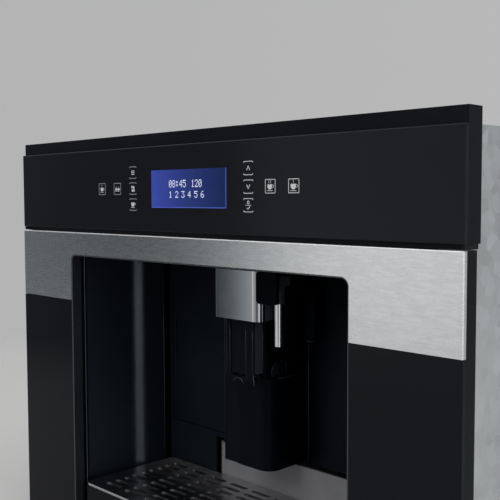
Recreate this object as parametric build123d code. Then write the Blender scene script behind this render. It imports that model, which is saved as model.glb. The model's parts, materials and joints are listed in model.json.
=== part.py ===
from build123d import *
import os
from math import cos, radians, sin

# A built-in coffee machine of the compact 455 mm height.  It stands in a 560 mm wide cabinet
# niche, pulls out on telescopic rails, and brews from beans into cups in the niche at its front.
# Frame: +X to the right seen from the front, +Y to the back, +Z up, millimetres.
# The origin is the bottom centre of the whole machine.

# ---------------------------------------------------------------- driving dimensions
# whole machine
OVERALL_WIDTH = 595.0
OVERALL_HEIGHT = 455.0
OVERALL_DEPTH = 412.0
NICHE_WIDTH = 560.0
SIDE_SPACE = 16.0
BODY_BOTTOM = 6.0
BODY_TOP_DROP = 7.0
SHEET = 1.5
SCREW_HEAD_HEIGHT = 1.5
SCREW_HEAD_RADIUS = 3.6
SCREW_SHANK_RADIUS = 1.9
SCREW_REACH = 6.0
SCREW_EDGE_DISTANCE = 14.0
OVERLAP = 1.0

# front, from the top down
TOP_BAND_HEIGHT = 13.0
CONTROL_GLASS_HEIGHT = 84.0
DOOR_TOP_GAP = 4.5
STEEL_BAND_HEIGHT = 76.0
STEEL_OVER_OPENING = 24.5
FACE_THICKNESS = 4.0
GLASS_SETBACK = 0.3
GLASS_EDGE_BEVEL = 0.8
FACE_GAP = 0.5
DOOR_BOTTOM = 5.0
DOOR_SILL = 25.0
DOOR_THICKNESS = 19.0
DOOR_SKIN = 3.0
DOOR_RIM = 5.0
DOOR_BACK_GAP = 3.0
DOOR_FRAME_INSET = 1.0
OPENING_WIDTH = 393.0
OPENING_RADIUS = 8.0
RING_WALL = 1.2
RING_SHORT_OF_BACK = 1.4

# control panel
CARRIER_WALL = 3.0
BOARD_THICKNESS = 1.6
BOARD_WIDTH = 320.0
BOARD_HEIGHT = 60.0
DISPLAY_WIDTH = 112.0
DISPLAY_HEIGHT = 44.0
DISPLAY_THICKNESS = 6.0
DISPLAY_RISE = 1.0
BOARD_WINDOW_GAP = 1.0
CABLE_SLOT_WIDTH = 60.0
CABLE_SLOT_HEIGHT = 12.0
CABLE_SLOT_RISE = 15.0

# hinge of the service door
HINGE_INSET = 6.5
HINGE_PIN_RADIUS = 3.0
HINGE_RUNNING_GAP = 0.05
HINGE_PIN_LENGTH = 18.0
HINGE_PIN_END_GAP = 1.0
HINGE_SIDE_GAP = 0.8
LUG_THICKNESS = 2.6
LUG_WIDTH = 50.0
LUG_LENGTH = 7.0

# front frame and its door catch
FRAME_THICKNESS = 4.0
MAGNET_WIDTH = 16.0
MAGNET_HEIGHT = 36.0
MAGNET_SIDE_INSET = 20.0
STRIKE_THICKNESS = 2.0
CATCH_GAP = 0.4

# cup niche
LINER_SIDE_STEP = 1.5
LINER_STEP = 6.5
LINER_STEP_START = 82.5
LINER_STEP_LENGTH = 19.0
LINER_WALL = 2.5
LINER_FRONT_GAP = 2.0
LINER_TOP_STEP = 5.0
LINER_FLOOR_STEP = 0.8
TONGUE_MARGIN = 6.0
TRAY_GUIDE_START = 12.0
TRAY_GUIDE_HEIGHT = 12.0
FLOOR_LEG_X = 90.0
FLOOR_LEG_THICKNESS = 6.0
FLOOR_LEG_FRONT = 60.0
FLOOR_LEG_LENGTH = 180.0
NICHE_DEPTH = 138.0
BACK_PANEL_WALL = 3.0
CONTAINER_CLEARANCE = 5.0
PANEL_SEAM = 1.0
PANEL_SEAM_GAP = 9.0

# infuser hatch in the back of the niche
HATCH_SIDE_GAP = 5.5
HATCH_COLUMN_GAP = 13.0
HATCH_SILL = 7.0
HATCH_HEADER = 13.0
HATCH_GAP = 1.0
HATCH_PIN_RADIUS = 1.5
HATCH_PIN_LENGTH = 4.0
HATCH_EDGE_SWELL = 0.5
HATCH_EAR_HEIGHT = 6.0
HATCH_EAR_WIDTH = 10.0
HATCH_EAR_THICKENING = 3.0
HATCH_GRIP_INSET = 6.0
HATCH_GRIP_WIDTH = 12.0
HATCH_GRIP_HEIGHT = 50.0
HATCH_GRIP_DEPTH = 1.5
HATCH_GRIP_RADIUS = 5.0

# column with the coffee spout
COLUMN_FRONT = 86.0
COLUMN_HALF_WIDTH = 28.0
COLUMN_FRONT_RADIUS = 14.0
SPOUT_FOOT_GAP = 4.0
GUIDE_HALF_WIDTH = 22.0
GUIDE_RADIUS = 3.0
COLUMN_WALL = 3.0
COLUMN_FRONT_WALL = 6.0
ARCH_RECESS = 1.2
ARCH_SETBACK = 10.0
ARCH_WIDTH = 22.0
ARCH_SPRING = 12.0
SPOUT_THICKNESS = 13.0
SPOUT_HALF_WIDTH = 20.3
SPOUT_GUIDE_GAP = 1.0
SPOUT_BELOW_COVER = 58.0
SPOUT_RADIUS = 4.0
SPOUT_PANEL_WIDTH = 18.0
SPOUT_PANEL_OFFSET = 5.0
SPOUT_PANEL_DEPTH = 1.0
SPOUT_ARCH_RADIUS = 7.0
SPOUT_ARCH_HEIGHT = 5.0
SPOUT_PANEL_RISE = 3.0
SPOUT_TOP_DROP = 2.0
CROSS_BAR_HEIGHT = 4.0
CROSS_BAR_INSET = 4.0
OUTLET_SPACING = 26.0
OUTLET_RADIUS = 3.2
OUTLET_BORE = 2.1
OUTLET_DROP = 5.5
OUTLET_SINK = 8.0
COVER_STAND_OFF = 7.5
COVER_DEPTH = 22.0
COVER_HALF_WIDTH = 34.0
COVER_TOP_GAP = 15.0
COVER_HEIGHT = 50.0
COVER_WALL = 1.6
COVER_RADIUS = 8.5

# hot water nozzle and its socket
NOZZLE_COVER_GAP = 3.0
NOZZLE_WIDTH = 23.0
NOZZLE_SETBACK = -2.5
NOZZLE_THICKNESS = 27.0
NOZZLE_TOP_GAP = 14.0
NOZZLE_HEIGHT = 32.0
NOZZLE_RADIUS = 5.0
TUBE_INSET = 14.0
TUBE_SETBACK = 14.0
TUBE_RADIUS = 4.7
TUBE_BORE = 3.4
TUBE_LENGTH = 45.0
TUBE_SEAT = 12.0
SLEEVE_RADIUS = 3.2
SLEEVE_GAP = 0.4
SLEEVE_SHORTER = 3.0
PLUG_RADIUS = 6.0
PLUG_LENGTH = 16.0
PLUG_GAP = 0.4
PLUG_END_GAP = 3.0
SOCKET_WALL = 4.0
SOCKET_FRONT_GAP = 0.6
SOCKET_FOOT_HEIGHT = 48.0
SOCKET_FOOT_DEPTH = 16.0
SOCKET_FOOT_LEFT = 4.0
SOCKET_FOOT_RIGHT = 8.0

# drip tray, cup grid and float
TRAY_SIDE_GAP = 4.5
TRAY_FRONT = 7.0
TRAY_REAR_HALF_WIDTH = 106.0
TRAY_FLOOR_GAP = 0.5
TRAY_HEIGHT = 35.0
TRAY_WALL = 2.0
TRAY_RADIUS = 6.0
TRAY_BACK_GAP = 2.0
TRAY_GUIDE_GAP = 2.0
GRID_THICKNESS = 3.0
GRID_INSET = 1.0
GRID_RIB_PLAY = 1.5
GRID_RIB_WIDTH = 2.0
GRID_RIB_HEIGHT = 5.0
GRID_RIB_INSET = 12.0
GRID_MARGIN = 6.0
GRID_SLOT_LENGTH = 26.0
GRID_SLOT_WIDTH = 6.0
GRID_SLOT_PITCH_X = 34.0
GRID_SLOT_PITCH_Y = 12.0
GRID_SLOT_COLUMNS = 10
GRID_SLOT_ROWS = 9
FLOAT_SIDE_INSET = 27.0
FLOAT_FRONT_INSET = 33.0
FLOAT_RADIUS = 7.0
FLOAT_PLAY = 1.0
FLOAT_FOOT_RADIUS = 12.0
FLOAT_FOOT_HEIGHT = 6.0
FLOAT_RISE_OVER_GRID = 1.0
FLOAT_HOLE_MARGIN = 3.0

# grounds container
CONTAINER_GAP = 1.0
CONTAINER_LENGTH = 102.0
CONTAINER_TOP = 107.0
CONTAINER_WALL = 2.0
CONTAINER_RADIUS = 8.0

# bulkhead across the body
BULKHEAD_DEPTH = 262.0
BULKHEAD_TANK_GAP = 8.0
BULKHEAD_TOP_DROP = 82.0
BULKHEAD_HOLE_RADIUS = 7.0

# brew unit
BREW_X = -112.0
BREW_CHUTE_GAP = 5.0
BREW_FRAME_HALF_WIDTH = 50.0
BREW_FRAME_SETBACK = 12.0
BREW_DUCT_GAP = 4.0
BREW_PLATE = 4.0
BREW_BORE_RADIUS = 21.0
BREW_RUNNING_GAP = 0.08
BREW_CHAMBER_WALL = 5.0
BREW_HEAD_GAP = 21.0
BREW_CHAMBER_HEIGHT = 70.0
BREW_YOKE_RISE = 25.0
BREW_YOKE_HEIGHT = 10.0
BREW_YOKE_DEPTH = 16.0
BREW_HEAD_RADIUS = 20.0
BREW_HEAD_LENGTH = 27.0
PISTON_RISE = 3.0
PISTON_HEIGHT = 10.0
PISTON_ROD_RADIUS = 8.0
PISTON_ROD_GAP = 7.0
SPINDLE_RADIUS = 4.0
SPINDLE_TOP_GAP = 11.0
SPINDLE_RUNNING_GAP = 0.05
SPINDLE_SINK = 12.0
INFUSER_MOTOR_WIDTH = 56.0
INFUSER_MOTOR_HEIGHT = 20.0
INFUSER_MOTOR_CHAMFER = 4.0

# grinder
GRINDER_X = 25.0
GRINDER_BACK_GAP = 2.0
HOUSING_RADIUS = 48.0
HOUSING_WALL = 8.0
HOUSING_HEIGHT = 82.0
HOUSING_PLATE = 4.0
BEAN_INLET_RADIUS = 14.0
BURR_RADIUS = 36.0
BURR_THICKNESS = 12.0
BURR_SPACING = 2.0
GROOVES = 12
GROOVE_WIDTH = 2.4
GROOVE_DEPTH = 1.5
GROOVE_MARGIN = 2.0
UPPER_BURR_RISE = 50.0
MOTOR_RADIUS = 34.0
MOTOR_HEIGHT = 94.0
MOTOR_SHAFT_RADIUS = 5.0
MOTOR_SHAFT_GAP = 0.05
MOTOR_SHAFT_DEPTH = 30.0
MOTOR_SHAFT_END_GAP = 2.0
MOTOR_CHAMFER = 3.0
GRINDER_SHELF_THICKNESS = 4.0
GRINDER_SHELF_MARGIN = 4.0
GRINDER_WEB_HEIGHT = 60.0
DUCT_WIDTH = 24.0
DUCT_HEIGHT = 18.0
DUCT_WALL = 2.0
DUCT_RISE = 36.0
DUCT_SLOPE_DROP = 8.0

# powder chute behind the brew head
CHUTE_WIDTH = 44.0
CHUTE_BACK_GAP = 2.0
CHUTE_LENGTH = 30.0
CHUTE_WALL = 2.0
CHUTE_DROP = 46.0

# bean hopper
HOPPER_HALF_WIDTH = 77.0
HOPPER_AHEAD_OF_NECK = 66.0
HOPPER_BEHIND_NECK = 92.0
HOPPER_WALL = 2.5
HOPPER_BOX_HEIGHT = 41.0
HOPPER_FUNNEL_HEIGHT = 30.0
HOPPER_LUG_LENGTH = 46.0
HOPPER_LUG_WIDTH = 24.0
HOPPER_LUG_THICKNESS = 5.0
HOPPER_LUG_DROP = 20.0

# lids in the top
LID_THICKNESS = 4.0
LID_GAP = 0.3
LID_PIN_RADIUS = 1.2
LID_PIN_GAP = 0.05
LID_PIN_LENGTH = 2.6
LID_EAR_WIDTH = 3.4
LID_EAR_PLAY = 0.4
LID_EAR_LENGTH = 7.0
LID_EAR_ROOT = 2.0
LID_FRONT_INSET = 1.0
TOP_OPENING_GAP = 1.5
TOP_RIM_DROP = 5.0

# grind setting knob
KNOB_RADIUS = 16.0
KNOB_HEIGHT = 10.0
KNOB_SPINDLE_RADIUS = 3.0
KNOB_RUNNING_GAP = 0.05
KNOB_RIBS = 18
KNOB_RIB_RADIUS = 1.2
KNOB_HUB_RADIUS = 5.0
KNOB_SINK = 1.0
KNOB_STANDOFF = 0.5
KNOB_SPINDLE_END = 4.0
KNOB_MARK_WIDTH = 2.0
KNOB_MARK_LENGTH = 10.0
KNOB_MARK_INSET = 2.0
KNOB_MARK_DEPTH = 0.8

# water tank
TANK_SIDE_GAP = 3.5
TANK_WIDTH = 53.0
TANK_SETBACK = 12.0
TANK_LENGTH = 180.0
TANK_BOTTOM = 112.0
TANK_WALL = 2.5
TANK_RADIUS = 8.0
VALVE_RADIUS = 7.0
VALVE_BORE = 3.5
VALVE_LENGTH = 10.0
VALVE_PLAY = 1.0
VALVE_FRONT_INSET = 40.0
VALVE_END_GAP = 2.0
TANK_EAR_INSET = 3.0
TANK_EAR_ROOT = 12.0
TANK_SEAT_GAP = 0.3
SOCKET_RIM = 3.0
SOCKET_FLOOR = 2.0
SHELF_THICKNESS = 4.0
SHELF_LEG = 6.0
SHELF_MARGIN = 2.5

# boiler, pump, flow meter and hoses
BOILER_X = 147.0
BOILER_WIDTH = 70.0
BOILER_THICKNESS = 58.0
BOILER_TOP_DROP = 76.0
BOILER_HEIGHT = 90.0
BOILER_RIBS = 6
BOILER_GROOVE_WIDTH = 6.0
BOILER_GROOVE_DEPTH = 3.0
BOILER_CHAMFER = 5.0
PUMP_LEFT = 14.0
PUMP_LENGTH = 86.0
PUMP_RADIUS = 22.0
PUMP_BARREL_RADIUS = 15.4
PUMP_REAR_GAP = 37.0
PUMP_AXIS_HEIGHT = 52.0
PUMP_SPIGOT_RADIUS = 5.0
PUMP_SPIGOT_LENGTH = 8.0
PUMP_FRAME_WIDTH = 26.0
MOUNT_THICKNESS = 10.0
MOUNT_LENGTH = 40.0
MOUNT_INSET = 8.0
FLOW_METER_X = 146.0
FLOW_METER_RADIUS = 15.0
FLOW_METER_HEIGHT = 20.0
FLOW_METER_FOOT = 16.0
HOSE_RADIUS = 3.5
HOSE_BORE = 2.0
HOSE_BEND = 9.0
HEAD_HOSE_BEND = 7.2
HOSE_HOLE_GAP = 2.0
HOSE_REACH = 18.0
HOSE_DROP = 30.0
HEAD_HOSE_INSET = 6.0
HEAD_HOSE_DROP = 16.0

# electrics at the back
POWER_BOARD_WIDTH = 150.0
POWER_BOARD_HEIGHT = 170.0
POWER_BOARD_LEFT = -190.0
POWER_BOARD_TOP_DROP = 46.0
SPACER_RADIUS = 4.0
SPACER_LENGTH = 6.0
SPACER_INSET = 10.0
FILTER_LEFT = 15.0
FILTER_RISE = 18.0
FILTER_WIDTH = 40.0
FILTER_HEIGHT = 42.0
FILTER_DEPTH = 24.0
RELAYS = 2
RELAY_LEFT = 75.0
RELAY_PITCH = 30.0
RELAY_RISE = 20.0
RELAY_WIDTH = 20.0
RELAY_HEIGHT = 28.0
RELAY_DEPTH = 16.0
FINS = 6
FIN_LEFT = 24.0
FIN_PITCH = 8.0
FIN_RISE = 90.0
FIN_WIDTH = 3.0
FIN_HEIGHT = 50.0
FIN_DEPTH = 30.0
INLET_X = -200.0
INLET_HEIGHT = 62.0
INLET_WIDTH = 30.0
INLET_TALL = 24.0
INLET_DEPTH = 24.0
INLET_WALL = 2.5
INLET_PIN_LENGTH = 12.0
INLET_PIN_WIDTH = 2.0
INLET_PIN_TALL = 6.0
INLET_PIN_SPACING = 7.0
LIVE_PIN_DROP = 1.5
EARTH_PIN_RISE = 2.5
BRIDGE_THICKNESS = 3.0
SWITCH_X = -160.0
SWITCH_WIDTH = 20.0
SWITCH_TALL = 28.0
SWITCH_DEPTH = 18.0
SWITCH_WALL = 2.0
ROCKER_THICKNESS = 6.0
ROCKER_PLAY = 0.7
ROCKER_TILT = 7.0
ROCKER_PIVOT_DROP = 5.5
ROCKER_PIN_RADIUS = 1.2
ROCKER_PIN_GAP = 0.05
ROCKER_PIN_SEAT = 1.4
ROCKER_PIN_END_GAP = 0.4
ROCKER_EDGE_RADIUS = 1.0
VENT_WIDTH = 60.0
VENT_HEIGHT = 3.0
VENT_PITCH = 9.0
VENT_ROWS = 7
REAR_VENT_COLUMNS = 4
BASE_VENT_COLUMNS = 2
VENT_COLUMN_PITCH = 90.0
REAR_VENT_LEFT = -170.0
REAR_VENT_DROP = 118.0
BASE_VENT_LEFT = -150.0
BASE_VENT_SETBACK = 129.0
SIDE_VENT_REAR_GAP = 9.0
SIDE_VENT_DROP = 148.0

# telescopic rails
RAIL_FRONT_GAP = 2.0
RAIL_REAR_GAP = 10.5
RAIL_HEIGHT = 50.0
RAIL_STEP = 4.5
RAIL_FLANGE = 9.5
RAIL_SIDE_STEP = 2.5
RAIL_FOOT_WIDTH = 18.0
RAIL_SCREW_SPACING = 256.0
RAIL_SCREW_RADIUS = 2.25

# ---------------------------------------------------------------- places that follow
# front and body
FRONT_Y = -OVERALL_DEPTH / 2
HALF_FRONT = OVERALL_WIDTH / 2
CONTROL_TOP = OVERALL_HEIGHT - TOP_BAND_HEIGHT
CONTROL_BOTTOM = CONTROL_TOP - CONTROL_GLASS_HEIGHT
DOOR_TOP = CONTROL_BOTTOM - DOOR_TOP_GAP
STEEL_BOTTOM = DOOR_TOP - STEEL_BAND_HEIGHT
OPENING_TOP = DOOR_TOP - STEEL_OVER_OPENING
OPENING_BOTTOM = DOOR_BOTTOM + DOOR_SILL
HALF_BODY = NICHE_WIDTH / 2 - SIDE_SPACE
HALF_INSIDE = HALF_BODY - SHEET
BODY_TOP = OVERALL_HEIGHT - BODY_TOP_DROP
ROOF = BODY_TOP - SHEET
RIM = BODY_TOP - TOP_RIM_DROP
LID_AXIS = RIM + LID_GAP + LID_THICKNESS / 2
FLOOR = BODY_BOTTOM + SHEET
BODY_FRONT = DOOR_THICKNESS + DOOR_BACK_GAP
FRAME_BACK = BODY_FRONT + FRAME_THICKNESS
REAR_OUTSIDE = OVERALL_DEPTH - SCREW_HEAD_HEIGHT
REAR_INSIDE = REAR_OUTSIDE - SHEET
HINGE_X = -HALF_FRONT + HINGE_INSET
HINGE_DEPTH = (FACE_THICKNESS + DOOR_THICKNESS) / 2
FRAME_BOTTOM = DOOR_BOTTOM - HINGE_SIDE_GAP
RAIL_FRONT = FRAME_BACK + RAIL_FRONT_GAP
RAIL_LENGTH = REAR_OUTSIDE - RAIL_REAR_GAP - RAIL_FRONT
REAR_VENT_BOTTOM = BODY_TOP - REAR_VENT_DROP
SIDE_VENT_BOTTOM = BODY_TOP - SIDE_VENT_DROP
SIDE_VENT_FRONT = REAR_INSIDE - SIDE_VENT_REAR_GAP - VENT_WIDTH
BASE_VENT_FRONT = REAR_INSIDE - BASE_VENT_SETBACK
PIVOT_DEPTH = REAR_OUTSIDE - ROCKER_PIVOT_DROP

# cup niche, spout and nozzle
LINER_HALF_WIDTH = OPENING_WIDTH / 2 + LINER_SIDE_STEP
LINER_FRONT = DOOR_THICKNESS + LINER_FRONT_GAP
LINER_TOP = OPENING_TOP + LINER_TOP_STEP
LINER_FLOOR = OPENING_BOTTOM + RING_WALL + LINER_FLOOR_STEP
BACK_PANEL_BOTTOM = CONTAINER_TOP + CONTAINER_CLEARANCE
PANEL_SEAM_X = COLUMN_HALF_WIDTH + PANEL_SEAM_GAP
HATCH_LEFT = LINER_HALF_WIDTH - LINER_STEP - HATCH_SIDE_GAP
HATCH_HINGE_X = COLUMN_HALF_WIDTH + HATCH_COLUMN_GAP
HATCH_BOTTOM = BACK_PANEL_BOTTOM + HATCH_SILL
HATCH_TOP = LINER_TOP - HATCH_HEADER
SPOUT_FRONT = COLUMN_FRONT - SPOUT_GUIDE_GAP - SPOUT_THICKNESS
COVER_FRONT = SPOUT_FRONT - COVER_STAND_OFF
COVER_BACK = COVER_FRONT + COVER_DEPTH
COVER_BOTTOM = LINER_TOP - COVER_TOP_GAP - COVER_HEIGHT
SPOUT_BOTTOM = COVER_BOTTOM - SPOUT_BELOW_COVER
COLUMN_BASE_TOP = SPOUT_BOTTOM - SPOUT_FOOT_GAP
NOZZLE_LEFT = COVER_HALF_WIDTH + NOZZLE_COVER_GAP
NOZZLE_FRONT = COVER_FRONT + NOZZLE_SETBACK
NOZZLE_BACK = NOZZLE_FRONT + NOZZLE_THICKNESS
NOZZLE_BOTTOM = LINER_TOP - NOZZLE_TOP_GAP - NOZZLE_HEIGHT
NOZZLE_CENTRE_X = NOZZLE_LEFT + NOZZLE_WIDTH / 2
NOZZLE_AXIS = NOZZLE_BOTTOM + NOZZLE_HEIGHT / 2
TUBE_X = NOZZLE_LEFT + TUBE_INSET
TUBE_DEPTH = NOZZLE_FRONT + TUBE_SETBACK

# drip tray and grounds container
TRAY_HALF_WIDTH = LINER_HALF_WIDTH - LINER_STEP - TRAY_SIDE_GAP
TRAY_NICHE_END = NICHE_DEPTH - TRAY_BACK_GAP - TRAY_WALL
TRAY_BOTTOM = LINER_FLOOR + TRAY_FLOOR_GAP
TRAY_TOP = TRAY_BOTTOM + TRAY_HEIGHT
TRAY_BACK = TRAY_NICHE_END + CONTAINER_LENGTH + 2 * (CONTAINER_GAP + TRAY_WALL)
GRID_TOP = TRAY_TOP + GRID_THICKNESS
FLOAT_X = TRAY_HALF_WIDTH - FLOAT_SIDE_INSET
FLOAT_DEPTH = TRAY_FRONT + FLOAT_FRONT_INSET
CONTAINER_FRONT = TRAY_NICHE_END + TRAY_WALL + CONTAINER_GAP
CONTAINER_BACK = CONTAINER_FRONT + CONTAINER_LENGTH

# grinder, hopper and chute, from the top down
GRINDER_DEPTH = BULKHEAD_DEPTH - GRINDER_BACK_GAP - HOUSING_RADIUS
HOPPER_LEFT = GRINDER_X - HOPPER_HALF_WIDTH
HOPPER_RIGHT = GRINDER_X + HOPPER_HALF_WIDTH
HOPPER_FRONT = GRINDER_DEPTH - HOPPER_AHEAD_OF_NECK
HOPPER_BACK = GRINDER_DEPTH + HOPPER_BEHIND_NECK
HOPPER_FUNNEL_TOP = RIM - HOPPER_BOX_HEIGHT
HOUSING_TOP = HOPPER_FUNNEL_TOP - HOPPER_FUNNEL_HEIGHT
HOUSING_BOTTOM = HOUSING_TOP - HOUSING_HEIGHT
UPPER_BURR_BOTTOM = HOUSING_BOTTOM + UPPER_BURR_RISE
DUCT_BOTTOM = HOUSING_BOTTOM + DUCT_RISE
KNOB_X = HOPPER_RIGHT + HOPPER_LUG_LENGTH - HOPPER_LUG_WIDTH / 2
KNOB_DEPTH = (HOPPER_FRONT + HOPPER_BACK) / 2
CHUTE_FRONT = BULKHEAD_DEPTH - CHUTE_BACK_GAP - CHUTE_LENGTH

# brew unit
BREW_DEPTH = CHUTE_FRONT - BREW_CHUTE_GAP - BREW_HEAD_RADIUS
BREW_FRAME_FRONT = NICHE_DEPTH + BREW_FRAME_SETBACK
BREW_FRAME_BOTTOM = CONTAINER_TOP + CONTAINER_CLEARANCE
BREW_FRAME_TOP = DUCT_BOTTOM - BREW_DUCT_GAP
CHUTE_BOTTOM = BREW_FRAME_TOP - CHUTE_DROP
BREW_CHAMBER_TOP = BREW_FRAME_TOP - BREW_PLATE - BREW_HEAD_LENGTH - BREW_HEAD_GAP
BREW_CHAMBER_BOTTOM = BREW_CHAMBER_TOP - BREW_CHAMBER_HEIGHT
BREW_YOKE_BOTTOM = BREW_CHAMBER_BOTTOM + BREW_YOKE_RISE
INFUSER_MOTOR_TOP = BREW_FRAME_BOTTOM + BREW_PLATE + INFUSER_MOTOR_HEIGHT
PISTON_BOTTOM = BREW_CHAMBER_BOTTOM + PISTON_RISE
PISTON_ROD_BOTTOM = INFUSER_MOTOR_TOP + PISTON_ROD_GAP
SPINDLE_TOP = PISTON_BOTTOM - SPINDLE_TOP_GAP

# tank, boiler, pump, hoses and power board
TANK_LEFT = HALF_INSIDE - TANK_SIDE_GAP - TANK_WIDTH
TANK_FRONT = NICHE_DEPTH + TANK_SETBACK
VALVE_X = TANK_LEFT + TANK_WIDTH / 2
VALVE_DEPTH = TANK_FRONT + VALVE_FRONT_INSET
BULKHEAD_RIGHT = TANK_LEFT - BULKHEAD_TANK_GAP
BULKHEAD_TOP = BODY_TOP - BULKHEAD_TOP_DROP
BOILER_BOTTOM = BULKHEAD_TOP - BOILER_TOP_DROP - BOILER_HEIGHT
PUMP_DEPTH = REAR_INSIDE - PUMP_REAR_GAP - PUMP_RADIUS
HOSE_LEVEL = BOILER_BOTTOM - HOSE_DROP
HOSE_FRONT_DEPTH = BREW_FRAME_FRONT + HEAD_HOSE_INSET
HOSE_HEAD_LEVEL = BREW_FRAME_TOP - HEAD_HOSE_DROP
POWER_BOARD_BOTTOM = BULKHEAD_TOP - POWER_BOARD_TOP_DROP - POWER_BOARD_HEIGHT


# ---------------------------------------------------------------- shapes used again and again
def at(depth):
    """The Y of a place this far behind the front plane."""
    return FRONT_Y + depth


def block(x0, x1, d0, d1, z0, z1):
    """A box between two corners, with its Y given as depths behind the front plane."""
    middle = Pos((x0 + x1) / 2, at((d0 + d1) / 2), (z0 + z1) / 2)
    return middle * Box(x1 - x0, d1 - d0, z1 - z0)


def front_plate(x0, x1, d0, d1, z0, z1, radius):
    """A plate with rounded corners that faces the front."""
    outline = RectangleRounded(x1 - x0, z1 - z0, radius)
    place = Pos((x0 + x1) / 2, at(d1), (z0 + z1) / 2) * Rot(90, 0, 0)
    return place * extrude(outline, amount=d1 - d0)


def upright(x0, x1, d0, d1, z0, z1, radius):
    """A prism that stands on Z, with rounded vertical edges."""
    outline = RectangleRounded(x1 - x0, d1 - d0, radius)
    return Pos((x0 + x1) / 2, at((d0 + d1) / 2), z0) * extrude(outline, amount=z1 - z0)


def post(x, depth, z0, z1, radius):
    """A round bar along Z."""
    return Pos(x, at(depth), (z0 + z1) / 2) * Cylinder(radius, z1 - z0)


def bar_along_x(x0, x1, depth, z, radius):
    """A round bar along X."""
    return Pos((x0 + x1) / 2, at(depth), z) * Rot(0, 90, 0) * Cylinder(radius, x1 - x0)


def bar_along_y(x, d0, d1, z, radius):
    """A round bar along Y."""
    return Pos(x, at((d0 + d1) / 2), z) * Rot(90, 0, 0) * Cylinder(radius, d1 - d0)


def ring_post(x, depth, z0, z1, radius, bore):
    """A round bar along Z with a bore."""
    return post(x, depth, z0, z1, radius) - post(x, depth, z0, z1, bore)


def both_sides(shape):
    """A shape and its mirror image in the middle plane of the machine."""
    return Part() + [shape, mirror(shape, about=Plane.YZ)]


def lid_blank(x0, x1, d0, d1):
    """A lid whose rear end is round about its hinge axis, with a stub pin at each side."""
    hinge_depth = d1 - LID_THICKNESS / 2
    plate = block(x0, x1, d0, hinge_depth, LID_AXIS - LID_THICKNESS / 2, LID_AXIS + LID_THICKNESS / 2)
    barrel = bar_along_x(x0, x1, hinge_depth, LID_AXIS, LID_THICKNESS / 2)
    pins = bar_along_x(x0 - LID_PIN_LENGTH, x1 + LID_PIN_LENGTH, hinge_depth, LID_AXIS, LID_PIN_RADIUS)
    return plate + barrel + pins


def lid_ears(x0, x1, d1):
    """The two ears outside a lid that hold its pins, standing on the rim below it."""
    hinge_depth = d1 - LID_THICKNESS / 2
    front = hinge_depth - LID_EAR_LENGTH / 2
    back = hinge_depth + LID_THICKNESS / 2
    top = LID_AXIS + LID_THICKNESS / 2
    left = block(x0 - LID_EAR_PLAY - LID_EAR_WIDTH, x0 - LID_EAR_PLAY, front, back, RIM - LID_EAR_ROOT, top)
    right = block(x1 + LID_EAR_PLAY, x1 + LID_EAR_PLAY + LID_EAR_WIDTH, front, back, RIM - LID_EAR_ROOT, top)
    reach = LID_EAR_WIDTH + LID_EAR_PLAY + OVERLAP
    bore = bar_along_x(x0 - reach, x1 + reach, hinge_depth, LID_AXIS, LID_PIN_RADIUS + LID_PIN_GAP)
    return left - bore, right - bore


def ear_margin():
    """How far a lid stays inside the side of what it covers, to leave room for an ear."""
    return LID_EAR_WIDTH + LID_EAR_PLAY


# ---------------------------------------------------------------- front of the machine
def control_glass():
    glass = block(-HALF_FRONT, HALF_FRONT, GLASS_SETBACK, FACE_THICKNESS, CONTROL_BOTTOM, CONTROL_TOP)
    front_edges = glass.faces().sort_by(Axis.Y)[0].edges()
    return chamfer(front_edges, GLASS_EDGE_BEVEL)


def panel_carrier():
    """Plastic carrier of the control glass; its top is the plain band above the glass."""
    body = block(-HALF_FRONT, HALF_FRONT, FACE_THICKNESS, BODY_FRONT, CONTROL_BOTTOM, OVERALL_HEIGHT)
    pocket_bottom = CONTROL_BOTTOM + CARRIER_WALL
    pocket_top = CONTROL_TOP - CARRIER_WALL
    side = HALF_FRONT - CARRIER_WALL
    shelf = BODY_FRONT - CARRIER_WALL
    pocket = block(-side, side, FACE_THICKNESS, shelf, pocket_bottom, pocket_top)
    return body - pocket - cable_slot(shelf, BODY_FRONT)


def cable_slot(d0, d1):
    """The way of the flat cable from the touch board into the body."""
    half = CABLE_SLOT_WIDTH / 2
    low = CONTROL_BOTTOM + CABLE_SLOT_RISE
    return block(-half, half, d0, d1, low, low + CABLE_SLOT_HEIGHT)


def touch_board():
    """Sensor board of the touch keys, behind the glass, with a window for the display."""
    middle = (CONTROL_TOP + CONTROL_BOTTOM) / 2 + DISPLAY_RISE
    half_width = BOARD_WIDTH / 2
    half_height = BOARD_HEIGHT / 2
    board = block(-half_width, half_width, FACE_THICKNESS, FACE_THICKNESS + BOARD_THICKNESS,
                  middle - half_height, middle + half_height)
    gap = BOARD_WINDOW_GAP
    window = block(-DISPLAY_WIDTH / 2 - gap, DISPLAY_WIDTH / 2 + gap, FACE_THICKNESS,
                   FACE_THICKNESS + BOARD_THICKNESS, middle - DISPLAY_HEIGHT / 2 - gap,
                   middle + DISPLAY_HEIGHT / 2 + gap)
    return board - window


def display_module():
    middle = (CONTROL_TOP + CONTROL_BOTTOM) / 2 + DISPLAY_RISE
    return block(-DISPLAY_WIDTH / 2, DISPLAY_WIDTH / 2, FACE_THICKNESS, FACE_THICKNESS + DISPLAY_THICKNESS,
                 middle - DISPLAY_HEIGHT / 2, middle + DISPLAY_HEIGHT / 2)


def door_opening(d0, d1, margin=0.0):
    """The space of the opening in the door, widened by a margin all round."""
    half = OPENING_WIDTH / 2 + margin
    return front_plate(-half, half, d0, d1, OPENING_BOTTOM - margin, OPENING_TOP + margin,
                       OPENING_RADIUS + margin)


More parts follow.
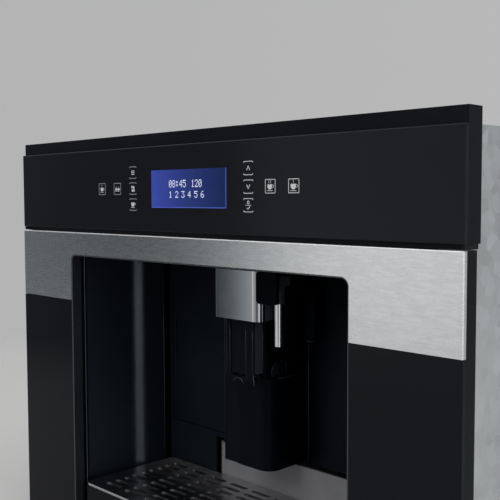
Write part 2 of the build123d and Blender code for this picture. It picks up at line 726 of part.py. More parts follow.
def steel_fascia():
    band = block(-HALF_FRONT, HALF_FRONT, 0, FACE_THICKNESS, STEEL_BOTTOM, DOOR_TOP)
    front = band.faces().sort_by(Axis.Y)[0]
    top_and_sides = front.edges().filter_by(lambda edge: edge.center().Z > STEEL_BOTTOM + OVERLAP)
    return chamfer(top_and_sides, GLASS_EDGE_BEVEL) - door_opening(0, FACE_THICKNESS)


def door_glass():
    """Black glass to the left, right and below the opening."""
    sheet = block(-HALF_FRONT, HALF_FRONT, GLASS_SETBACK, FACE_THICKNESS, DOOR_BOTTOM,
                  STEEL_BOTTOM - FACE_GAP)
    return sheet - door_opening(0, FACE_THICKNESS)


def opening_ring():
    """Plastic ring that lines the opening through the door."""
    outer = door_opening(GLASS_SETBACK, DOOR_THICKNESS - RING_SHORT_OF_BACK)
    inner = door_opening(0, DOOR_THICKNESS, -RING_WALL)
    return outer - inner


def door_frame():
    """Moulded frame behind the steel and the glass, hollowed from the back, with hinge bores."""
    half = HALF_FRONT - DOOR_FRAME_INSET
    body = block(-half, half, FACE_THICKNESS, DOOR_THICKNESS, DOOR_BOTTOM, DOOR_TOP)
    body -= door_opening(0, DOOR_THICKNESS)
    inner = OPENING_WIDTH / 2 + DOOR_RIM
    back = FACE_THICKNESS + DOOR_SKIN
    bottom = OPENING_BOTTOM - DOOR_RIM
    top = OPENING_TOP + DOOR_RIM
    hinge_keep = HINGE_X + HINGE_PIN_RADIUS + DOOR_RIM
    rib = DOOR_SKIN
    body -= block(hinge_keep, -inner, back, DOOR_THICKNESS, bottom, (bottom + top) / 2 - rib)
    body -= block(hinge_keep, -inner, back, DOOR_THICKNESS, (bottom + top) / 2 + rib, top)
    body -= block(inner, half - DOOR_RIM, back, DOOR_THICKNESS, bottom, catch_low() - rib)
    body -= block(inner, half - DOOR_RIM, back, DOOR_THICKNESS, catch_high() + rib, top)
    body -= door_strike()
    bore = HINGE_PIN_RADIUS + HINGE_RUNNING_GAP
    depth = HINGE_PIN_LENGTH + HINGE_PIN_END_GAP
    body -= post(HINGE_X, HINGE_DEPTH, DOOR_TOP - depth, DOOR_TOP, bore)
    body -= post(HINGE_X, HINGE_DEPTH, DOOR_BOTTOM, DOOR_BOTTOM + depth, bore)
    return body


def catch_low():
    """Lower end of the magnet and its strike, which are level with the middle of the opening."""
    return (OPENING_BOTTOM + OPENING_TOP - MAGNET_HEIGHT) / 2


def catch_high():
    return catch_low() + MAGNET_HEIGHT


def catch_right():
    return HALF_BODY - MAGNET_SIDE_INSET


def door_strike():
    """Steel strike plate, let into the back of the door."""
    return block(catch_right() - MAGNET_WIDTH, catch_right(), DOOR_THICKNESS - STRIKE_THICKNESS,
                 DOOR_THICKNESS, catch_low(), catch_high())


def door_magnet():
    return block(catch_right() - MAGNET_WIDTH, catch_right(), DOOR_THICKNESS + CATCH_GAP, BODY_FRONT,
                 catch_low(), catch_high())


def hinge_brackets():
    """Upper and lower bracket on the front frame, each a thin lug with a pin into the door."""
    left = HINGE_X - LUG_LENGTH / 2
    right = HINGE_X + LUG_WIDTH
    front = HINGE_DEPTH - LUG_LENGTH / 2
    upper_low = DOOR_TOP + (DOOR_TOP_GAP - LUG_THICKNESS) / 2
    upper = block(left, right, front, BODY_FRONT, upper_low, upper_low + LUG_THICKNESS)
    upper += post(HINGE_X, HINGE_DEPTH, DOOR_TOP - HINGE_PIN_LENGTH, upper_low, HINGE_PIN_RADIUS)
    lower_top = FRAME_BOTTOM
    lower_low = lower_top - LUG_THICKNESS
    lower = block(left, right, front, FRAME_BACK, lower_low, lower_top)
    lower += post(HINGE_X, HINGE_DEPTH, lower_top, DOOR_BOTTOM + HINGE_PIN_LENGTH, HINGE_PIN_RADIUS)
    return Part() + [upper, lower]


# ---------------------------------------------------------------- sheet-metal body
def front_frame():
    plate = block(-HALF_BODY, HALF_BODY, BODY_FRONT, FRAME_BACK, FRAME_BOTTOM, ROOF)
    outside = LINER_HALF_WIDTH + LINER_WALL
    niche = block(-outside, outside, BODY_FRONT, FRAME_BACK, LINER_FLOOR - LINER_WALL,
                  LINER_TOP + LINER_WALL)
    return plate - niche - cable_slot(BODY_FRONT, FRAME_BACK)


def base_tray():
    """Floor of the body, with rows of air slots between the rails."""
    floor = block(-HALF_INSIDE, HALF_INSIDE, FRAME_BACK, REAR_INSIDE, BODY_BOTTOM, FLOOR)
    for column in range(BASE_VENT_COLUMNS):
        left = BASE_VENT_LEFT - VENT_WIDTH / 2 + VENT_COLUMN_PITCH * column
        for row in range(VENT_ROWS):
            front = BASE_VENT_FRONT + VENT_PITCH * row
            floor -= block(left, left + VENT_WIDTH, front, front + VENT_HEIGHT, BODY_BOTTOM, FLOOR)
    return floor


def side_panels():
    """Side walls of the body, each with a block of air slots near the top at the back."""
    wall = block(HALF_INSIDE, HALF_BODY, FRAME_BACK, REAR_INSIDE, BODY_BOTTOM, ROOF)
    for row in range(VENT_ROWS):
        low = SIDE_VENT_BOTTOM + VENT_PITCH * row
        wall -= block(HALF_INSIDE, HALF_BODY, SIDE_VENT_FRONT, SIDE_VENT_FRONT + VENT_WIDTH, low,
                      low + VENT_HEIGHT)
    return both_sides(wall)


def rear_panel():
    sheet = block(-HALF_BODY, HALF_BODY, REAR_INSIDE, REAR_OUTSIDE, BODY_BOTTOM, BODY_TOP)
    sheet -= inlet_space(REAR_INSIDE, REAR_OUTSIDE)
    sheet -= switch_space(REAR_INSIDE, REAR_OUTSIDE)
    for column in range(REAR_VENT_COLUMNS):
        left = REAR_VENT_LEFT - VENT_WIDTH / 2 + VENT_COLUMN_PITCH * column
        for row in range(VENT_ROWS):
            low = REAR_VENT_BOTTOM + VENT_PITCH * row
            sheet -= block(left, left + VENT_WIDTH, REAR_INSIDE, REAR_OUTSIDE, low, low + VENT_HEIGHT)
    for x, z in rear_screw_places():
        sheet -= bar_along_y(x, REAR_INSIDE, REAR_OUTSIDE, z, SCREW_SHANK_RADIUS)
    return sheet


def rear_screw_places():
    side = HALF_BODY - SCREW_EDGE_DISTANCE
    heights = (BODY_BOTTOM + SCREW_EDGE_DISTANCE, BODY_TOP - SCREW_EDGE_DISTANCE)
    return [(x, z) for x in (-side, 0.0, side) for z in heights]


def rear_screws():
    """Pan-head screws of the rear panel, six alike."""
    pieces = []
    for x, z in rear_screw_places():
        head = bar_along_y(x, REAR_OUTSIDE, REAR_OUTSIDE + SCREW_HEAD_HEIGHT, z, SCREW_HEAD_RADIUS)
        shank = bar_along_y(x, REAR_INSIDE - SCREW_REACH, REAR_OUTSIDE, z, SCREW_SHANK_RADIUS)
        drive = bar_along_y(x, REAR_OUTSIDE + SCREW_HEAD_HEIGHT / 2, REAR_OUTSIDE + SCREW_HEAD_HEIGHT, z,
                            SCREW_SHANK_RADIUS)
        pieces.append(head + shank - drive)
    return Part() + pieces


def top_cover():
    """Lid of the body, with openings over the tank, the hopper, the powder chute and the knob."""
    gap = TOP_OPENING_GAP
    sheet = block(-HALF_BODY, HALF_BODY, BODY_FRONT, REAR_INSIDE, ROOF, BODY_TOP)
    sheet -= block(TANK_LEFT - gap, TANK_LEFT + TANK_WIDTH + gap, TANK_FRONT - gap,
                   TANK_FRONT + TANK_LENGTH + gap, ROOF, BODY_TOP)
    sheet -= block(HOPPER_LEFT - gap, HOPPER_RIGHT + gap, HOPPER_FRONT - gap, HOPPER_BACK + gap, ROOF,
                   BODY_TOP)
    sheet -= block(BREW_X - CHUTE_WIDTH / 2 - gap, BREW_X + CHUTE_WIDTH / 2 + gap, CHUTE_FRONT - gap,
                   CHUTE_FRONT + CHUTE_LENGTH + gap, ROOF, BODY_TOP)
    sheet -= post(KNOB_X, KNOB_DEPTH, ROOF, BODY_TOP, KNOB_RADIUS + KNOB_RIB_RADIUS + gap)
    return sheet


def bulkhead():
    """Upright wall across the body that carries the brew unit, grinder, boiler and electrics."""
    wall = block(-HALF_INSIDE, BULKHEAD_RIGHT, BULKHEAD_DEPTH, BULKHEAD_DEPTH + SHEET, FLOOR, BULKHEAD_TOP)
    wall -= bar_along_y(BOILER_X, BULKHEAD_DEPTH, BULKHEAD_DEPTH + SHEET, HOSE_LEVEL,
                        BULKHEAD_HOLE_RADIUS)
    for x, z in board_screw_places():
        wall += bar_along_y(x, BULKHEAD_DEPTH + SHEET, BULKHEAD_DEPTH + SHEET + SPACER_LENGTH, z,
                            SPACER_RADIUS)
    return wall + grinder_shelf()


# ---------------------------------------------------------------- cup niche
def liner_side(offset):
    """Outline in plan of the niche's right wall, moved outwards by an offset."""
    x0 = LINER_HALF_WIDTH + offset
    x1 = x0 - LINER_STEP
    start = LINER_STEP_START
    middle = start + LINER_STEP_LENGTH / 2
    end = start + LINER_STEP_LENGTH
    curve = Spline((x0, at(start)), ((x0 + x1) / 2, at(middle)), (x1, at(end)),
                   tangents=((0, 1), (0, 1)))
    return x0, x1, curve, start, end


def liner_prism(offset, front, z0, z1):
    """Everything inside the niche's side walls, moved outwards by an offset, as a solid."""
    x0, x1, right, start, end = liner_side(offset)
    left = mirror(right, about=Plane.YZ).edge()
    edges = [
        Line((-x0, at(front)), (x0, at(front))),
        Line((x0, at(front)), (x0, at(start))),
        right,
        Line((x1, at(end)), (x1, at(NICHE_DEPTH))),
        Line((x1, at(NICHE_DEPTH)), (-x1, at(NICHE_DEPTH))),
        Line((-x1, at(NICHE_DEPTH)), (-x1, at(end))),
        left,
        Line((-x0, at(start)), (-x0, at(front))),
    ]
    return Pos(0, 0, z0) * extrude(make_face(Wire(edges)), amount=z1 - z0)


def cup_niche_liner():
    """Side walls and ceiling of the cup niche in one moulding."""
    outer = liner_prism(LINER_WALL, LINER_FRONT, LINER_FLOOR, LINER_TOP + LINER_WALL)
    inner = liner_prism(0, LINER_FRONT, LINER_FLOOR, LINER_TOP)
    return outer - inner


def niche_floor():
    """Runway of the drip tray: niche floor and, behind it, the tongue under the grounds container."""
    wide = LINER_HALF_WIDTH + LINER_WALL
    low = LINER_FLOOR - LINER_WALL
    floor = block(-wide, wide, LINER_FRONT, NICHE_DEPTH, low, LINER_FLOOR)
    tongue_half = TRAY_REAR_HALF_WIDTH + TONGUE_MARGIN
    floor += block(-tongue_half, tongue_half, NICHE_DEPTH, BULKHEAD_DEPTH, low, LINER_FLOOR)
    inside = TRAY_REAR_HALF_WIDTH + TRAY_GUIDE_GAP
    guide = block(inside, inside + LINER_WALL, NICHE_DEPTH + TRAY_GUIDE_START, BULKHEAD_DEPTH,
                  LINER_FLOOR, LINER_FLOOR + TRAY_GUIDE_HEIGHT)
    leg = block(FLOOR_LEG_X - FLOOR_LEG_THICKNESS / 2, FLOOR_LEG_X + FLOOR_LEG_THICKNESS / 2,
                FLOOR_LEG_FRONT, FLOOR_LEG_FRONT + FLOOR_LEG_LENGTH, FLOOR, low)
    for piece in (guide, leg):
        floor += piece
        floor += mirror(piece, about=Plane.YZ)
    return floor


def niche_back_panel():
    """Back of the niche: a frame round the infuser hatch, and the plain part beyond the seam.
    Below both, a wing reaches down to the floor at each side of the grounds container."""
    half = LINER_HALF_WIDTH - LINER_STEP + LINER_WALL
    front = NICHE_DEPTH
    back = NICHE_DEPTH + BACK_PANEL_WALL
    wall = block(-half, PANEL_SEAM_X, front, back, BACK_PANEL_BOTTOM, LINER_TOP + LINER_WALL)
    wall -= block(-HATCH_LEFT - HATCH_GAP, -HATCH_HINGE_X + hatch_round() + HATCH_GAP, front, back,
                  HATCH_BOTTOM - HATCH_GAP, HATCH_TOP + HATCH_GAP)
    half_ear = HATCH_EAR_WIDTH / 2
    pin = HATCH_PIN_RADIUS + HINGE_RUNNING_GAP
    for low in (HATCH_BOTTOM - HATCH_GAP - HATCH_EAR_HEIGHT, HATCH_TOP + HATCH_GAP):
        high = low + HATCH_EAR_HEIGHT
        wall += block(-HATCH_HINGE_X - half_ear, -HATCH_HINGE_X + half_ear, front,
                      back + HATCH_EAR_THICKENING, low, high)
        wall -= post(-HATCH_HINGE_X, hatch_axis_depth(), low, high, pin)
    right_part = block(PANEL_SEAM_X + PANEL_SEAM, half, front, back, BACK_PANEL_BOTTOM,
                       LINER_TOP + LINER_WALL)
    inside = TRAY_REAR_HALF_WIDTH + TRAY_GUIDE_GAP
    wall += block(-half, -inside, front, back, LINER_FLOOR, BACK_PANEL_BOTTOM)
    right_part += block(inside, half, front, back, LINER_FLOOR, BACK_PANEL_BOTTOM)
    return Part() + [wall, right_part]


def hatch_round():
    """Radius of the hatch's rounded hinge edge."""
    return BACK_PANEL_WALL / 2 + HATCH_EDGE_SWELL


def hatch_axis_depth():
    return NICHE_DEPTH + hatch_round()


def infuser_hatch():
    """Door in the back of the niche, hinged beside the column, that opens to the brew unit."""
    radius = hatch_round()
    plate = block(-HATCH_LEFT, -HATCH_HINGE_X, NICHE_DEPTH, NICHE_DEPTH + BACK_PANEL_WALL, HATCH_BOTTOM,
                  HATCH_TOP)
    plate += post(-HATCH_HINGE_X, hatch_axis_depth(), HATCH_BOTTOM, HATCH_TOP, radius)
    plate += post(-HATCH_HINGE_X, hatch_axis_depth(), HATCH_BOTTOM - HATCH_PIN_LENGTH,
                  HATCH_TOP + HATCH_PIN_LENGTH, HATCH_PIN_RADIUS)
    left = -HATCH_LEFT + HATCH_GRIP_INSET
    low = (HATCH_BOTTOM + HATCH_TOP - HATCH_GRIP_HEIGHT) / 2
    return plate - front_plate(left, left + HATCH_GRIP_WIDTH, NICHE_DEPTH, NICHE_DEPTH + HATCH_GRIP_DEPTH,
                               low, low + HATCH_GRIP_HEIGHT, HATCH_GRIP_RADIUS)


def spout_column():
    """Fixed column: a wide foot with a rounded front, and the narrower guide of the spout."""
    beyond = NICHE_DEPTH + COLUMN_FRONT_RADIUS
    foot = upright(-COLUMN_HALF_WIDTH, COLUMN_HALF_WIDTH, COLUMN_FRONT, beyond, BACK_PANEL_BOTTOM,
                   COLUMN_BASE_TOP, COLUMN_FRONT_RADIUS)
    foot -= block(-COLUMN_HALF_WIDTH, COLUMN_HALF_WIDTH, NICHE_DEPTH, beyond, BACK_PANEL_BOTTOM,
                  COLUMN_BASE_TOP)
    guide = upright(-GUIDE_HALF_WIDTH, GUIDE_HALF_WIDTH, COLUMN_FRONT, NICHE_DEPTH, COLUMN_BASE_TOP,
                    LINER_TOP, GUIDE_RADIUS)
    arch_front = COLUMN_FRONT + ARCH_SETBACK
    spring = COLUMN_BASE_TOP + ARCH_SPRING
    recess = GUIDE_HALF_WIDTH - ARCH_RECESS
    arch = block(recess, GUIDE_HALF_WIDTH, arch_front, arch_front + ARCH_WIDTH, COLUMN_BASE_TOP, spring)
    arch += bar_along_x(recess, GUIDE_HALF_WIDTH, arch_front + ARCH_WIDTH / 2, spring, ARCH_WIDTH / 2)
    inside = GUIDE_HALF_WIDTH - COLUMN_WALL
    cavity = block(-inside, inside, COLUMN_FRONT + COLUMN_FRONT_WALL, NICHE_DEPTH,
                   BACK_PANEL_BOTTOM + COLUMN_WALL, LINER_TOP - COLUMN_WALL)
    return foot + guide - arch - cavity


# ---------------------------------------------------------------- coffee spout
def spout_cover():
    """Chrome cover wrapped round the front and both sides of the spout."""
    top = COVER_BOTTOM + COVER_HEIGHT
    deep = COVER_BACK + 2 * COVER_RADIUS
    outer = upright(-COVER_HALF_WIDTH, COVER_HALF_WIDTH, COVER_FRONT, deep, COVER_BOTTOM, top, COVER_RADIUS)
    inner_half = COVER_HALF_WIDTH - COVER_WALL
    inner = upright(-inner_half, inner_half, COVER_FRONT + COVER_WALL, deep, COVER_BOTTOM, top,
                    COVER_RADIUS - COVER_WALL)
    rear = block(-COVER_HALF_WIDTH, COVER_HALF_WIDTH, COVER_BACK, deep, COVER_BOTTOM, top)
    return outer - inner - rear


def spout_body():
    """Black body of the spout, that rides in front of the column and carries the cover,
    with two outlet tubes below."""
    back = COLUMN_FRONT - SPOUT_GUIDE_GAP
    top = COVER_BOTTOM + COVER_HEIGHT - SPOUT_TOP_DROP
    body = upright(-SPOUT_HALF_WIDTH, SPOUT_HALF_WIDTH, SPOUT_FRONT, back, SPOUT_BOTTOM, top, SPOUT_RADIUS)
    inner_half = COVER_HALF_WIDTH - COVER_WALL
    for low in (COVER_BOTTOM + CROSS_BAR_INSET, top - CROSS_BAR_INSET - CROSS_BAR_HEIGHT):
        body += block(-inner_half, inner_half, COVER_FRONT + COVER_RADIUS, back, low,
                      low + CROSS_BAR_HEIGHT)
    panel_left = -SPOUT_HALF_WIDTH + SPOUT_PANEL_OFFSET
    panel = block(panel_left, panel_left + SPOUT_PANEL_WIDTH, SPOUT_FRONT, SPOUT_FRONT + SPOUT_PANEL_DEPTH,
                  SPOUT_BOTTOM + SPOUT_ARCH_HEIGHT + SPOUT_PANEL_RISE, COVER_BOTTOM)
    arch_x = panel_left + SPOUT_PANEL_WIDTH / 2
    arch = bar_along_y(arch_x, SPOUT_FRONT, back, SPOUT_BOTTOM + SPOUT_ARCH_HEIGHT - SPOUT_ARCH_RADIUS,
                       SPOUT_ARCH_RADIUS)
    body -= panel + arch
    outlet_depth = (SPOUT_FRONT + back) / 2
    low = SPOUT_BOTTOM - OUTLET_DROP
    high = SPOUT_BOTTOM + OUTLET_SINK
    for x in (-OUTLET_SPACING / 2, OUTLET_SPACING / 2):
        body += post(x, outlet_depth, low, high, OUTLET_RADIUS)
        body -= post(x, outlet_depth, low, high, OUTLET_BORE)
    return body


# ---------------------------------------------------------------- hot water nozzle
def nozzle_connector():
    """Block of the hot water nozzle, with the plug at its back and the dark air sleeve below."""
    right = NOZZLE_LEFT + NOZZLE_WIDTH
    top = NOZZLE_BOTTOM + NOZZLE_HEIGHT
    body = front_plate(NOZZLE_LEFT, right, NOZZLE_FRONT, NOZZLE_BACK, NOZZLE_BOTTOM, top, NOZZLE_RADIUS)
    body += bar_along_y(NOZZLE_CENTRE_X, NOZZLE_BACK, NOZZLE_BACK + PLUG_LENGTH, NOZZLE_AXIS, PLUG_RADIUS)
    body -= post(TUBE_X, TUBE_DEPTH, NOZZLE_BOTTOM, NOZZLE_BOTTOM + TUBE_SEAT, TUBE_RADIUS)
    sleeve_depth = TUBE_DEPTH + TUBE_RADIUS + SLEEVE_RADIUS + SLEEVE_GAP
    return body + post(TUBE_X, sleeve_depth, NOZZLE_BOTTOM - TUBE_LENGTH + SLEEVE_SHORTER,
                       NOZZLE_BOTTOM + OVERLAP, SLEEVE_RADIUS)


def nozzle_tube():
    """Steel outlet tube, seated in the connector block."""
    return ring_post(TUBE_X, TUBE_DEPTH, NOZZLE_BOTTOM - TUBE_LENGTH, NOZZLE_BOTTOM + TUBE_SEAT,
                     TUBE_RADIUS, TUBE_BORE)


def nozzle_socket():
    """Socket on the back wall that the nozzle plugs into, with a hooked foot below it."""
    front = NOZZLE_BACK + SOCKET_FRONT_GAP
    wide = PLUG_RADIUS + PLUG_GAP + SOCKET_WALL
    body = front_plate(NOZZLE_CENTRE_X - wide, NOZZLE_CENTRE_X + wide, front, NICHE_DEPTH,
                       NOZZLE_AXIS - wide, NOZZLE_AXIS + wide, SOCKET_WALL)
    body -= bar_along_y(NOZZLE_CENTRE_X, front, front + PLUG_LENGTH + PLUG_END_GAP, NOZZLE_AXIS,
                        PLUG_RADIUS + PLUG_GAP)
    low = NOZZLE_AXIS - wide - SOCKET_FOOT_HEIGHT
    body += block(NOZZLE_CENTRE_X - SOCKET_FOOT_LEFT, NOZZLE_CENTRE_X + SOCKET_FOOT_RIGHT,
                  NICHE_DEPTH - SOCKET_FOOT_DEPTH, NICHE_DEPTH, low, NOZZLE_AXIS - wide)
    return body


# ---------------------------------------------------------------- drip tray and what it carries
def drip_tray():
    """Tray with a wide front pan under the cups and a narrower bay for the grounds container."""
    body = upright(-TRAY_HALF_WIDTH, TRAY_HALF_WIDTH, TRAY_FRONT, TRAY_NICHE_END + TRAY_WALL, TRAY_BOTTOM,
                   TRAY_TOP, TRAY_RADIUS)
    body += upright(-TRAY_REAR_HALF_WIDTH, TRAY_REAR_HALF_WIDTH, TRAY_NICHE_END - 2 * TRAY_RADIUS, TRAY_BACK,
                    TRAY_BOTTOM, TRAY_TOP, TRAY_RADIUS)
    floor = TRAY_BOTTOM + TRAY_WALL
    pan_half = TRAY_HALF_WIDTH - TRAY_WALL
    body -= upright(-pan_half, pan_half, TRAY_FRONT + TRAY_WALL, TRAY_NICHE_END, floor, TRAY_TOP,
                    TRAY_RADIUS - TRAY_WALL)
    bay_half = TRAY_REAR_HALF_WIDTH - TRAY_WALL
    body -= upright(-bay_half, bay_half, TRAY_NICHE_END + TRAY_WALL, TRAY_BACK - TRAY_WALL, floor,
                    TRAY_TOP, TRAY_RADIUS - TRAY_WALL)
    return body


def grid_edges():
    """Plan limits of the cup grid, which lies on the rim of the pan."""
    back = TRAY_NICHE_END + TRAY_WALL - GRID_INSET
    return TRAY_HALF_WIDTH - GRID_INSET, TRAY_FRONT + GRID_INSET, back


def cup_grid():
    """Slotted plate that the cups stand on, with a locating rib on each side."""
    half, front, back = grid_edges()
    plate = upright(-half, half, front, back, TRAY_TOP, GRID_TOP, TRAY_RADIUS)
    rib_out = TRAY_HALF_WIDTH - TRAY_WALL - GRID_RIB_PLAY
    rib = block(rib_out - GRID_RIB_WIDTH, rib_out, front + GRID_RIB_INSET, back - GRID_RIB_INSET,
                TRAY_TOP - GRID_RIB_HEIGHT, TRAY_TOP)
    plate += rib
    plate += mirror(rib, about=Plane.YZ)
    middle_depth = (front + back) / 2
    with_slots = GridLocations(GRID_SLOT_PITCH_X, GRID_SLOT_PITCH_Y, GRID_SLOT_COLUMNS, GRID_SLOT_ROWS)
    slot = SlotOverall(GRID_SLOT_LENGTH, GRID_SLOT_WIDTH)
    shapes = [place * slot for place in with_slots
              if abs(place.position.X) < half - GRID_SLOT_LENGTH / 2 - GRID_MARGIN
              and not float_blocks(place.position.X, middle_depth + place.position.Y)]
    cutter = extrude(Sketch() + shapes, amount=GRID_THICKNESS)
    plate -= Pos(0, at(middle_depth), TRAY_TOP) * cutter
    plate -= post(FLOAT_X, FLOAT_DEPTH, TRAY_TOP, GRID_TOP, FLOAT_RADIUS + FLOAT_PLAY)
    return plate


def float_blocks(x, depth):
    """Whether a slot at this place would run into the hole of the float."""
    clear = FLOAT_RADIUS + FLOAT_PLAY + FLOAT_HOLE_MARGIN
    near_x = abs(x - FLOAT_X) < clear + GRID_SLOT_LENGTH / 2
    return near_x and abs(depth - FLOAT_DEPTH) < clear + GRID_SLOT_WIDTH


def drip_float():
    """Level indicator that floats up through the grid when the tray is full."""
    floor = TRAY_BOTTOM + TRAY_WALL
    foot = post(FLOAT_X, FLOAT_DEPTH, floor, floor + FLOAT_FOOT_HEIGHT, FLOAT_FOOT_RADIUS)
    stem = post(FLOAT_X, FLOAT_DEPTH, floor, GRID_TOP + FLOAT_RISE_OVER_GRID, FLOAT_RADIUS)
    top_edge = stem.faces().sort_by(Axis.Z)[-1].edges()
    return foot + fillet(top_edge, FLOAT_RISE_OVER_GRID)


def grounds_container():
    """Open box for spent grounds, standing in the rear bay of the tray."""
    floor = TRAY_BOTTOM + TRAY_WALL
    half = TRAY_REAR_HALF_WIDTH - TRAY_WALL - CONTAINER_GAP
    body = upright(-half, half, CONTAINER_FRONT, CONTAINER_BACK, floor, CONTAINER_TOP, CONTAINER_RADIUS)
    body -= upright(-half + CONTAINER_WALL, half - CONTAINER_WALL, CONTAINER_FRONT + CONTAINER_WALL,
                    CONTAINER_BACK - CONTAINER_WALL, floor + CONTAINER_WALL, CONTAINER_TOP,
                    CONTAINER_RADIUS - CONTAINER_WALL)
    return body


# ---------------------------------------------------------------- brew unit
def brew_frame():
    """Cage of the brew unit, bolted to the bulkhead, with the shower head under its top plate."""
    left = BREW_X - BREW_FRAME_HALF_WIDTH
    right = BREW_X + BREW_FRAME_HALF_WIDTH
    front = BREW_FRAME_FRONT
    back = BULKHEAD_DEPTH
    cage = block(left, left + BREW_PLATE, front, back, BREW_FRAME_BOTTOM, BREW_FRAME_TOP)
    cage += block(right - BREW_PLATE, right, front, back, BREW_FRAME_BOTTOM, BREW_FRAME_TOP)
    cage += block(left, right, front, back, BREW_FRAME_BOTTOM, BREW_FRAME_BOTTOM + BREW_PLATE)
    cage += block(left, right, front, back, BREW_FRAME_TOP - BREW_PLATE, BREW_FRAME_TOP)
    cage -= block(BREW_X - CHUTE_WIDTH / 2, BREW_X + CHUTE_WIDTH / 2, CHUTE_FRONT,
                  CHUTE_FRONT + CHUTE_LENGTH, BREW_FRAME_TOP - BREW_PLATE, BREW_FRAME_TOP)
    cage -= bar_along_x(right - BREW_PLATE, right, HOSE_FRONT_DEPTH, HOSE_HEAD_LEVEL,
                        HOSE_RADIUS + HOSE_HOLE_GAP)
    top = BREW_FRAME_TOP - BREW_PLATE
    return cage + post(BREW_X, BREW_DEPTH, top - BREW_HEAD_LENGTH, top, BREW_HEAD_RADIUS)


def brew_chamber():
    """Bored chamber held between the side plates by a yoke."""
    top = BREW_CHAMBER_TOP
    inside = BREW_FRAME_HALF_WIDTH - BREW_PLATE
    outer = post(BREW_X, BREW_DEPTH, BREW_CHAMBER_BOTTOM, top, BREW_BORE_RADIUS + BREW_CHAMBER_WALL)
    yoke = block(BREW_X - inside, BREW_X + inside, BREW_DEPTH - BREW_YOKE_DEPTH / 2,
                 BREW_DEPTH + BREW_YOKE_DEPTH / 2, BREW_YOKE_BOTTOM, BREW_YOKE_BOTTOM + BREW_YOKE_HEIGHT)
    return outer + yoke - post(BREW_X, BREW_DEPTH, BREW_CHAMBER_BOTTOM, top, BREW_BORE_RADIUS)


def brew_piston():
    """Lower piston with its hollow rod, driven up the chamber by the spindle."""
    radius = BREW_BORE_RADIUS - BREW_RUNNING_GAP
    disc = post(BREW_X, BREW_DEPTH, PISTON_BOTTOM, PISTON_BOTTOM + PISTON_HEIGHT, radius)
    rod = post(BREW_X, BREW_DEPTH, PISTON_ROD_BOTTOM, PISTON_BOTTOM, PISTON_ROD_RADIUS)
    bore = post(BREW_X, BREW_DEPTH, PISTON_ROD_BOTTOM, PISTON_BOTTOM, SPINDLE_RADIUS + SPINDLE_RUNNING_GAP)
    return disc + rod - bore


def infuser_motor():
    """Gear motor on the base of the brew frame."""
    half = INFUSER_MOTOR_WIDTH / 2
    low = BREW_FRAME_BOTTOM + BREW_PLATE
    top = INFUSER_MOTOR_TOP
    body = block(BREW_X - half, BREW_X + half, BREW_DEPTH - half, BREW_DEPTH + half, low, top)
    body = chamfer(body.edges().filter_by(Axis.Z), INFUSER_MOTOR_CHAMFER)
    return body - post(BREW_X, BREW_DEPTH, top - SPINDLE_SINK, top,
                       SPINDLE_RADIUS + SPINDLE_RUNNING_GAP)


def infuser_spindle():
    """Upright drive spindle that rises from the gear motor into the piston rod."""
    return post(BREW_X, BREW_DEPTH, INFUSER_MOTOR_TOP - SPINDLE_SINK, SPINDLE_TOP, SPINDLE_RADIUS)


def powder_chute():
    """Duct from the flap in the top down to the brew chamber, with a sloped branch from the grinder."""
    left = BREW_X - CHUTE_WIDTH / 2
    right = BREW_X + CHUTE_WIDTH / 2
    back = CHUTE_FRONT + CHUTE_LENGTH
    wall = CHUTE_WALL
    duct = block(left, right, CHUTE_FRONT, back, CHUTE_BOTTOM, RIM)
    ears = lid_ears(left + ear_margin(), right - ear_margin(), back)
    duct -= block(left + wall, right - wall, CHUTE_FRONT + wall, back - wall, CHUTE_BOTTOM, RIM)
    duct += duct_run(0, right) - post(GRINDER_X, GRINDER_DEPTH, HOUSING_BOTTOM, RIM, HOUSING_RADIUS)
    duct -= duct_run(DUCT_WALL, right - wall - OVERLAP)
    return duct + ears[0] + ears[1]


def powder_flap():
    left = BREW_X - CHUTE_WIDTH / 2 + ear_margin()
    right = BREW_X + CHUTE_WIDTH / 2 - ear_margin()
    return lid_blank(left, right, CHUTE_FRONT + LID_FRONT_INSET, CHUTE_FRONT + CHUTE_LENGTH)


# ---------------------------------------------------------------- grinder
def grinder_housing():
    outer = post(GRINDER_X, GRINDER_DEPTH, HOUSING_BOTTOM, HOUSING_TOP, HOUSING_RADIUS)
    inner = post(GRINDER_X, GRINDER_DEPTH, HOUSING_BOTTOM + HOUSING_PLATE, HOUSING_TOP - HOUSING_PLATE,
                 HOUSING_RADIUS - HOUSING_WALL)
    body = outer - inner
    body -= post(GRINDER_X, GRINDER_DEPTH, HOUSING_TOP - HOUSING_PLATE, HOUSING_TOP, BEAN_INLET_RADIUS)
    body -= post(GRINDER_X, GRINDER_DEPTH, HOUSING_BOTTOM, HOUSING_BOTTOM + HOUSING_PLATE,
                 MOTOR_SHAFT_RADIUS + MOTOR_SHAFT_GAP)
    return body - duct_run(DUCT_WALL, BREW_X)


def upper_burr():
    """Fixed burr ring, held by the wall of the housing, with cutting grooves underneath."""
    outer = HOUSING_RADIUS - HOUSING_WALL
    ring = ring_post(GRINDER_X, GRINDER_DEPTH, UPPER_BURR_BOTTOM, UPPER_BURR_BOTTOM + BURR_THICKNESS, outer,
                     BEAN_INLET_RADIUS)
    return ring - burr_grooves(UPPER_BURR_BOTTOM, UPPER_BURR_BOTTOM + GROOVE_DEPTH)


def burr_grooves(z0, z1):
    """Straight grooves across a burr face, like spokes."""
    length = BURR_RADIUS - BEAN_INLET_RADIUS - 2 * GROOVE_MARGIN
    middle = (BURR_RADIUS + BEAN_INLET_RADIUS) / 2
    spoke = Pos(0, middle, (z0 + z1) / 2) * Box(GROOVE_WIDTH, length, z1 - z0)
    turned = [Pos(GRINDER_X, at(GRINDER_DEPTH), 0) * Rot(0, 0, 360 / GROOVES * turn) * spoke
              for turn in range(GROOVES)]
    return Part() + turned


